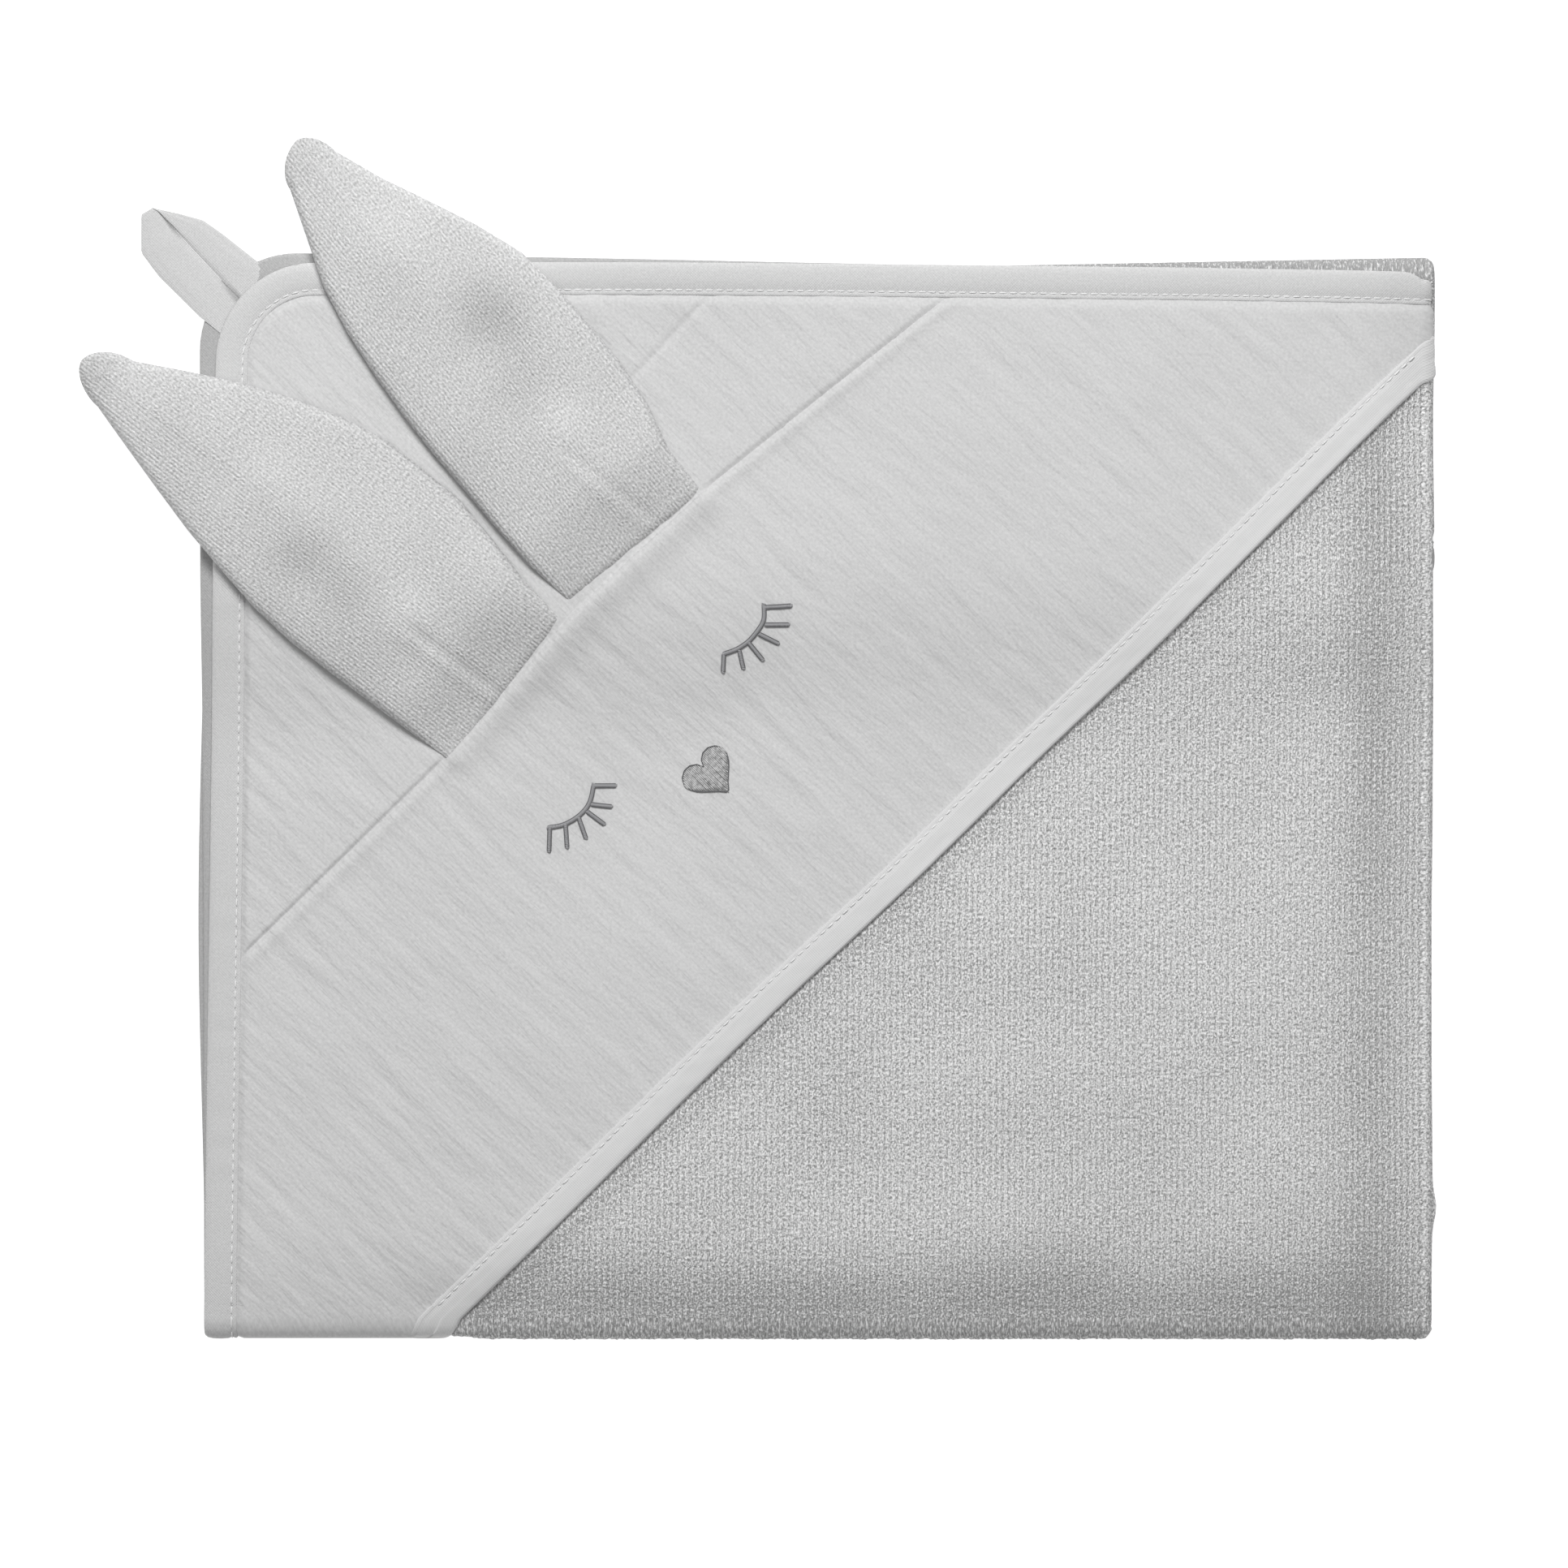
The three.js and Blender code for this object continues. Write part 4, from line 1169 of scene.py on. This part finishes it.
# %% [markdown]
# ## Sleeping eyes and heart
# Satin stitch: short threads laid side by side across each line. Each thread is a thin tube
# that arches over the muslin, so light catches them one by one. The drawn lines are in
# millimetres on the folded towel, and are carried back to the pattern before sewing.

# %% Eye lines
UPPER_LID = [
    (-17, 60.3), (-16.8, 57.7), (-17, 55.1), (-19, 52.2), (-21.5, 49.2), (-25.2, 46.8), (-29.4, 45.5)]
UPPER_LASHES = [
    ((-17, 59.3), (-8.6, 59.8)), ((-16.5, 54.2), (-9.4, 54.2)), ((-18.3, 51.4), (-12.6, 48.6)),
    ((-21.5, 48.7), (-17.3, 43.6)), ((-24.4, 46.4), (-23.2, 41.1)), ((-29.1, 45.5), (-29.4, 40.0))]
LOWER_LID = [(-68.6, 5.3), (-69.6, -0.1), (-71.8, -3.3), (-75, -5.8), (-78.7, -7.5), (-82.6, -7.9)]
LOWER_LASHES = [
    ((-68.6, 4.8), (-61.9, 4.8)), ((-69.3, -0.9), (-63.2, -1.6)), ((-70.6, -3.1), (-65.4, -7.0)),
    ((-73.2, -5.0), (-71.0, -11.2)), ((-77.2, -7.2), (-76.7, -14.0)), ((-82.0, -8.3), (-82.2, -15.2))]
print("eye lines", len(UPPER_LASHES) + len(LOWER_LASHES) + 2)

# %% [markdown]
# A drawn line is rounded off and divided evenly. Threads cross it from side to side, with a
# little unevenness in where each one starts.

# %% Eyes
THREAD = 0.26
STITCH = 0.5


def evenly(points, count):
    points = np.array(points, float)
    along = np.r_[0, np.cumsum(np.hypot(*np.diff(points, axis=0).T))]
    marks = np.linspace(0, along[-1], count)
    return np.stack([np.interp(marks, along, points[:, k]) for k in (0, 1)], axis=1)


def resample(points, pitch):
    points = np.array(points, float)
    for _ in range(2):
        a, b = points[:-1] * 0.75 + points[1:] * 0.25, points[:-1] * 0.25 + points[1:] * 0.75
        inner = np.stack([a, b], axis=1).reshape(-1, 2)
        points = np.concatenate([points[:1], inner, points[-1:]]) if len(points) > 2 else points
    along = np.r_[0, np.cumsum(np.hypot(*np.diff(points, axis=0).T))]
    marks = np.linspace(0, along[-1], max(2, int(along[-1] / pitch) + 1))
    return np.stack([np.interp(marks, along, points[:, k]) for k in (0, 1)], axis=1)


def sew(x, y, lift):
    """Carries folded places onto the hood's face, lift above it."""
    u, v = to_flat(x, y)
    return fold_map(u, v, hood_height(u, v) + lift), flat_places(u, v)


def laid_threads(starts, ends, seed):
    """One arched thread from each start to each end."""
    t = np.linspace(0, 1, 7)
    jitter = 0.12 * (lattice(np.arange(len(starts)), np.arange(len(starts)) * 0, seed) - 0.5)
    starts = starts + jitter[:, None]
    path = starts[:, None] + (ends - starts)[:, None] * t[None, :, None]
    arch = 0.12 + 0.5 * np.sin(math.pi * t)[None, :]
    return sew(path[..., 0], path[..., 1], np.repeat(arch, len(starts), axis=0))


def satin_line(points, width):
    points = resample(points, STITCH)
    run = np.gradient(points, axis=0)
    run /= np.linalg.norm(run, axis=1, keepdims=True)
    across = np.stack([-run[:, 1], run[:, 0]], axis=1) * width / 2
    lean = run * 0.25
    return points - across - lean, points + across + lean


def eye(name, lid, lashes, seed):
    starts, ends = satin_line(lid, 1.15)
    for root, tip in lashes:
        a, b = satin_line([root, tip], 0.95)
        starts, ends = np.concatenate([starts, a]), np.concatenate([ends, b])
    paths, flats = laid_threads(starts, ends, seed)
    return tube_mesh(name, paths, flats, THREAD, eye_thread)


eye_upper = eye("upper_eye", UPPER_LID, UPPER_LASHES, 81)
eye_lower = eye("lower_eye", LOWER_LID, LOWER_LASHES, 82)
print("eyes", len(eye_upper.data.polygons), len(eye_lower.data.polygons), "faces")

# %% [markdown]
# The heart lies on its side, as the towel does. Its curve is drawn upright, cut into rows of
# thread, and turned into place afterwards.

# %% Heart
HEART_CENTRE = (-33.4, 8.7)
HEART_WIDTH = 16.6
HEART_TURN = math.radians(45)


def heart_curve():
    t = np.linspace(0, 2 * math.pi, 721)
    hx = 16 * np.sin(t) ** 3
    hy = 13 * np.cos(t) - 5 * np.cos(2 * t) - 2 * np.cos(3 * t) - np.cos(4 * t)
    return hx * HEART_WIDTH / 32, hy * HEART_WIDTH / 32


def heart_place(points):
    """Turns upright heart points and moves them onto the hood."""
    c, s = math.cos(HEART_TURN), math.sin(HEART_TURN)
    return points @ np.array([[c, s], [-s, c]]) + HEART_CENTRE


def heart(name):
    hx, hy = heart_curve()
    starts, ends = [], []
    for row in np.arange(hx.min() + 0.2, hx.max() - 0.1, STITCH):
        crossing = np.where(np.diff(np.sign(hx - row)))[0]
        heights = sorted(hy[crossing])
        if len(heights) >= 2:
            starts.append((row, heights[0]))
            ends.append((row, heights[-1]))
    starts, ends = heart_place(np.array(starts)), heart_place(np.array(ends))
    paths, flats = laid_threads(starts, ends, 91)
    return tube_mesh(name, paths, flats, THREAD, heart_thread)


nose = heart("heart")
print("heart", len(nose.data.polygons), "faces")

# %% [markdown]
# A thin dark thread runs down both sides of each eye line and once round the heart.

# %% Outlines
LINE_WIDTH = 1.1


def outline(name, lines, width):
    paths, flats = [], []
    for line in lines:
        points = evenly(resample(line, 0.6), 24)
        run = np.gradient(points, axis=0)
        run /= np.linalg.norm(run, axis=1, keepdims=True)
        side = np.stack([-run[:, 1], run[:, 0]], axis=1) * width / 2
        for way in (side, -side) if width else (side,):
            x, y = (points + way).T
            path, flat = sew(x, y, 0.42)
            paths.append(path)
            flats.append(flat)
    return tube_mesh(name, paths, flats, 0.17, outline_thread)


upper_outline = outline("upper_eye_outline", [UPPER_LID, *UPPER_LASHES], LINE_WIDTH)
lower_outline = outline("lower_eye_outline", [LOWER_LID, *LOWER_LASHES], LINE_WIDTH)
heart_edge = heart_place(np.stack(heart_curve(), axis=1)[::24])
nose_outline = outline("heart_outline", [heart_edge], 0)
print("outlines", len(upper_outline.data.polygons), "faces round the upper eye")

# %% [markdown]
# ## Hanging loop
# A length of tape folded in half with a mitred tip, so two strands lie side by side with a
# slit between. Both ends are caught behind the corner binding.

# %% Hanging loop
SLIT = [(-172.9, 148.6), (-182, 158.6), (-192, 169.4), (-201.2, 179.6)]
OUTER_LEFT = [
    (-179.4, 140.2), (-188.5, 147.4), (-201.1, 159.9), (-206.4, 167.0), (-206.4, 178.6), (-203.0, 180.6)]
OUTER_RIGHT = [
    (-163.4, 156.6), (-171.2, 164.4), (-181.8, 172.8), (-187.7, 176.9), (-195.1, 178.9), (-203.0, 180.6)]
STRAND_ROWS = 44
STRAND_COLUMNS = 15


def strand(outer, low):
    side, slit = evenly(outer, STRAND_ROWS), evenly(SLIT, STRAND_ROWS)
    across = np.linspace(0.0, 0.995, STRAND_COLUMNS)
    x = side[:, None, 0] * (1 - across) + slit[:, None, 0] * across
    y = side[:, None, 1] * (1 - across) + slit[:, None, 1] * across
    along = np.repeat(np.linspace(0, 1, STRAND_ROWS)[:, None], STRAND_COLUMNS, axis=1)
    crown = np.sqrt(np.clip(1 - np.abs(2 * across / 0.995 - 1) ** 4, 0, 1))[None, :]
    out = smooth(along / 0.35)
    stitched = 0.3 * np.exp(-(((across - 0.16) / 0.05) ** 2))[None, :] * out
    middle = 17.85 - 1.6 * along - low * out
    rise = 0.35 + (0.75 * crown + 0.1 * drift(x, y, 5, 95) - stitched) * out
    top = np.stack([x, y, middle + rise], axis=-1)
    bottom = np.stack([x, y, middle - 0.3 - 0.4 * crown * out], axis=-1)
    # Painted shadow: the slit between the strands is darkened near the root and the tip.
    ends = np.exp(-(((along - 0.86) / 0.10) ** 2)) + np.exp(-(((along - 0.12) / 0.16) ** 2))
    dark = 0.42 * smooth((across - 0.86) / 0.12)[None, :] * np.minimum(ends, 1)
    return top, bottom, x, y, dark


def loop_mesh():
    halves = []
    for outer, low, flip in ((OUTER_LEFT, 0.35, False), (OUTER_RIGHT, 0.0, True)):
        top, bottom, x, y, dark = strand(outer, low)
        top, bottom = top.reshape(-1, 3), bottom.reshape(-1, 3)
        half = closed_skin("strand", top, bottom, *x.shape, x, y, tape_cloth, flip)
        halves.append(give_painted_shading(half, np.concatenate([dark.ravel(), dark.ravel()])))
    bpy.ops.object.select_all(action="DESELECT")
    for half in halves:
        half.select_set(True)
    bpy.context.view_layer.objects.active = halves[0]
    bpy.ops.object.join()
    loop = bpy.context.view_layer.objects.active
    loop.name = loop.data.name = "loop_tape"
    return loop


loop = loop_mesh()
print("loop", len(loop.data.polygons), "faces")

# %% [markdown]
# ## Machine stitches
# Every tape is held by a row of straight machine stitches near its inner lip. Each stitch
# is a thread that dips into the cloth at both ends.

# %% Machine stitches
STITCH_LENGTH = 2.3
STITCH_PITCH = 3.1
STITCH_THREAD = 0.24


def stitch_row(name, flat, heights, pitch=STITCH_PITCH, length=STITCH_LENGTH):
    """Stitches along a line of pattern places, at the given heights above the middle."""
    along = np.r_[0, np.cumsum(np.hypot(*np.diff(flat, axis=0).T))]
    starts = np.arange(0.4, along[-1] - length, pitch)
    t = np.linspace(0, 1, 6)
    marks = starts[:, None] + length * t[None, :]
    u, v = np.interp(marks, along, flat[:, 0]), np.interp(marks, along, flat[:, 1])
    lift = np.interp(marks, along, heights) + 0.22 * np.sin(math.pi * t)[None, :]
    paths = fold_map(u, v, lift)
    return tube_mesh(name, paths, flat_places(u, v), STITCH_THREAD, white_thread, sides=5)


def binding_stitches(name, legs):
    points, inward = edge_path(legs)
    return stitch_row(name, points + inward * STITCH_GROOVE, np.full(len(points), LIP - 0.05))


def ribbon_stitches(name, v_low, v_high):
    v = stops(v_low, v_high, 0.8)
    u = opening_line(v) - 11.2 - v
    keep = (u > 10) & (u < HALF_WIDTH - 2)
    tail = smooth((v - ROW_1 + 2) / 6)
    rise = 1.0 * (1 - 0.25 * tail) + (HOOD_CLOTH - 0.1) * (1 - tail)
    return stitch_row(name, np.stack([u, v], axis=1)[keep], (hood_base(u, v) + rise)[keep])


stitches_front = binding_stitches("binding_stitches_front", front_legs)
stitches_back = binding_stitches("binding_stitches_back", back_legs)
fold_legs = [("line", (0, UPPER_END), (0, LOWER_START), LEFT)]
stitches_fold = binding_stitches("binding_stitches_near_fold", fold_legs)
stitches_hood = ribbon_stitches("opening_stitches", RIBBON_START, UPPER_END)
print("stitches", len(stitches_front.data.polygons) + len(stitches_hood.data.polygons), "faces")

# %% [markdown]
# ## Tie to the frame
# Each piece takes its frame node's place and moves with its body. Pieces at the near fold,
# the ears and the loop have their place baked into the mesh and stay where they are drawn.


def tie(thing, body, nodes=()):
    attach(thing, body)
    if nodes:
        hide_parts(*nodes)


def tie_fold(thing, nodes=()):
    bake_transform(thing)
    if nodes:
        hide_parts(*nodes)


def tie_root(thing, node):
    """Bakes the piece's place into its mesh and hides its frame node."""
    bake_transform(thing)
    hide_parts(node)


# %% [markdown]
# Now every piece gets its tie. The pile, the outlines and the stitches have no node of their
# own in the frame, so they only ride.

# %% Tie the pieces
tie(front, "front", ["terry_front"])
tie(back, "back", ["terry_back"])
tie_fold(fold_outer, ["terry_near_fold"])
tie_fold(fold_inner)
tie(pile_front, "front")
tie_fold(pile_fold)
tie(tape_front, "front", ["edge_binding_front"])
tie(tape_back, "back", ["edge_binding_back"])
tie_fold(tape_outer, ["edge_binding_near_fold_outer"])
tie_fold(tape_inner, ["edge_binding_near_fold_inner"])
tie(rear_panel, "front", ["hood_rear_panel"])
tie(face_panel, "front", ["hood_face_panel"])
tie_fold(face_fold, ["hood_face_near_fold"])
tie(face_tail, "back", ["hood_face_tail"])
tie(ribbon_front, "front", ["hood_opening_tape"])
tie_fold(ribbon_fold, ["hood_opening_tape_near_fold"])
tie(ribbon_tail, "back", ["hood_opening_tape_tail"])
tie(eye_upper, "front", ["eye_upper"])
tie(eye_lower, "front", ["eye_lower"])
tie(nose, "front", ["heart_nose"])
for line in (upper_outline, lower_outline, nose_outline):
    tie(line, "front")
tie(stitches_front, "front")
tie(stitches_hood, "front")
tie(stitches_back, "back")
tie_fold(stitches_fold)
for ear in (UPPER, LOWER):
    for upper in (True, False):
        layer = "outer" if upper else "lining"
        body = "ear_" + ear["name"]
        tie_root(ears[ear["name"], upper], f"{body}_{layer}")
tie_root(loop, "hanging_loop")

# %% [markdown]
# ## Cut sizes
# The cut size of every piece of cloth, worked out in metres and printed in millimetres.

# %% Cut sizes


def pattern_size(thing, layers):
    """Width, length and area in metres of a piece in the flat pattern."""
    mesh = thing.data
    flat = np.empty(len(mesh.vertices) * 3)
    mesh.attributes["pattern"].data.foreach_get("vector", flat)
    flat = flat.reshape(-1, 3)[:, :2] * MM
    corners = flat[np.array([p.vertices[:] for p in mesh.polygons])]
    ahead = np.roll(corners, -1, axis=1)
    shoelace = (corners[..., 0] * ahead[..., 1] - corners[..., 1] * ahead[..., 0]).sum(axis=1) / 2
    width, length = np.ptp(flat, axis=0)
    return width, length, min(np.abs(shoelace).sum() / layers, width * length)


def cut_as_drawn(thing, layers=2, face_length=None):
    width, length, area = pattern_size(thing, layers)
    if face_length:
        area, length = area * face_length / length, face_length
    print(f"{thing.name:24s} {width * 1000:6.0f} by {length * 1000:6.0f} mm, {area * 1e4:7.1f} cm2")


def cut_strip(thing, width, length):
    print(f"{thing.name:24s} {width:6.1f} by {length:6.0f} mm strip")


FACE_TURN = (2 * SPLIT + math.pi * (TURN + PAIR_OFFSET + HALF)) * MM
cut_as_drawn(back)
cut_as_drawn(front)
cut_as_drawn(fold_outer)
cut_as_drawn(fold_inner)
cut_as_drawn(pile_front, layers=1)
cut_as_drawn(pile_fold, layers=1, face_length=FACE_TURN)
cut_as_drawn(rear_panel)
cut_as_drawn(face_panel)
cut_as_drawn(face_fold)
cut_as_drawn(face_tail)
for ear in (UPPER, LOWER):
    cut_as_drawn(ears[ear["name"], False])
    cut_as_drawn(ears[ear["name"], True])

DIAGONAL = math.sqrt(2)
FOLDED_TAPE = 2 * TAPE_WIDTH + 1
RIBBON = 10.5
for tape, legs, below in ((tape_front, front_legs, front), (tape_back, back_legs, back),
                          (tape_outer, outer_legs, fold_outer),
                          (tape_inner, inner_legs, fold_inner)):
    path, _ = edge_path(legs)
    cut_strip(tape, FOLDED_TAPE, np.hypot(*np.diff(path, axis=0).T).sum())
cut_strip(ribbon_front, RIBBON, (UPPER_END - 18.5) * DIAGONAL)
cut_strip(ribbon_fold, RIBBON, (LOWER_START - UPPER_END) * DIAGONAL)
cut_strip(ribbon_tail, RIBBON, (389.5 - LOWER_START) * DIAGONAL)
cut_strip(loop, 11.6, 95)
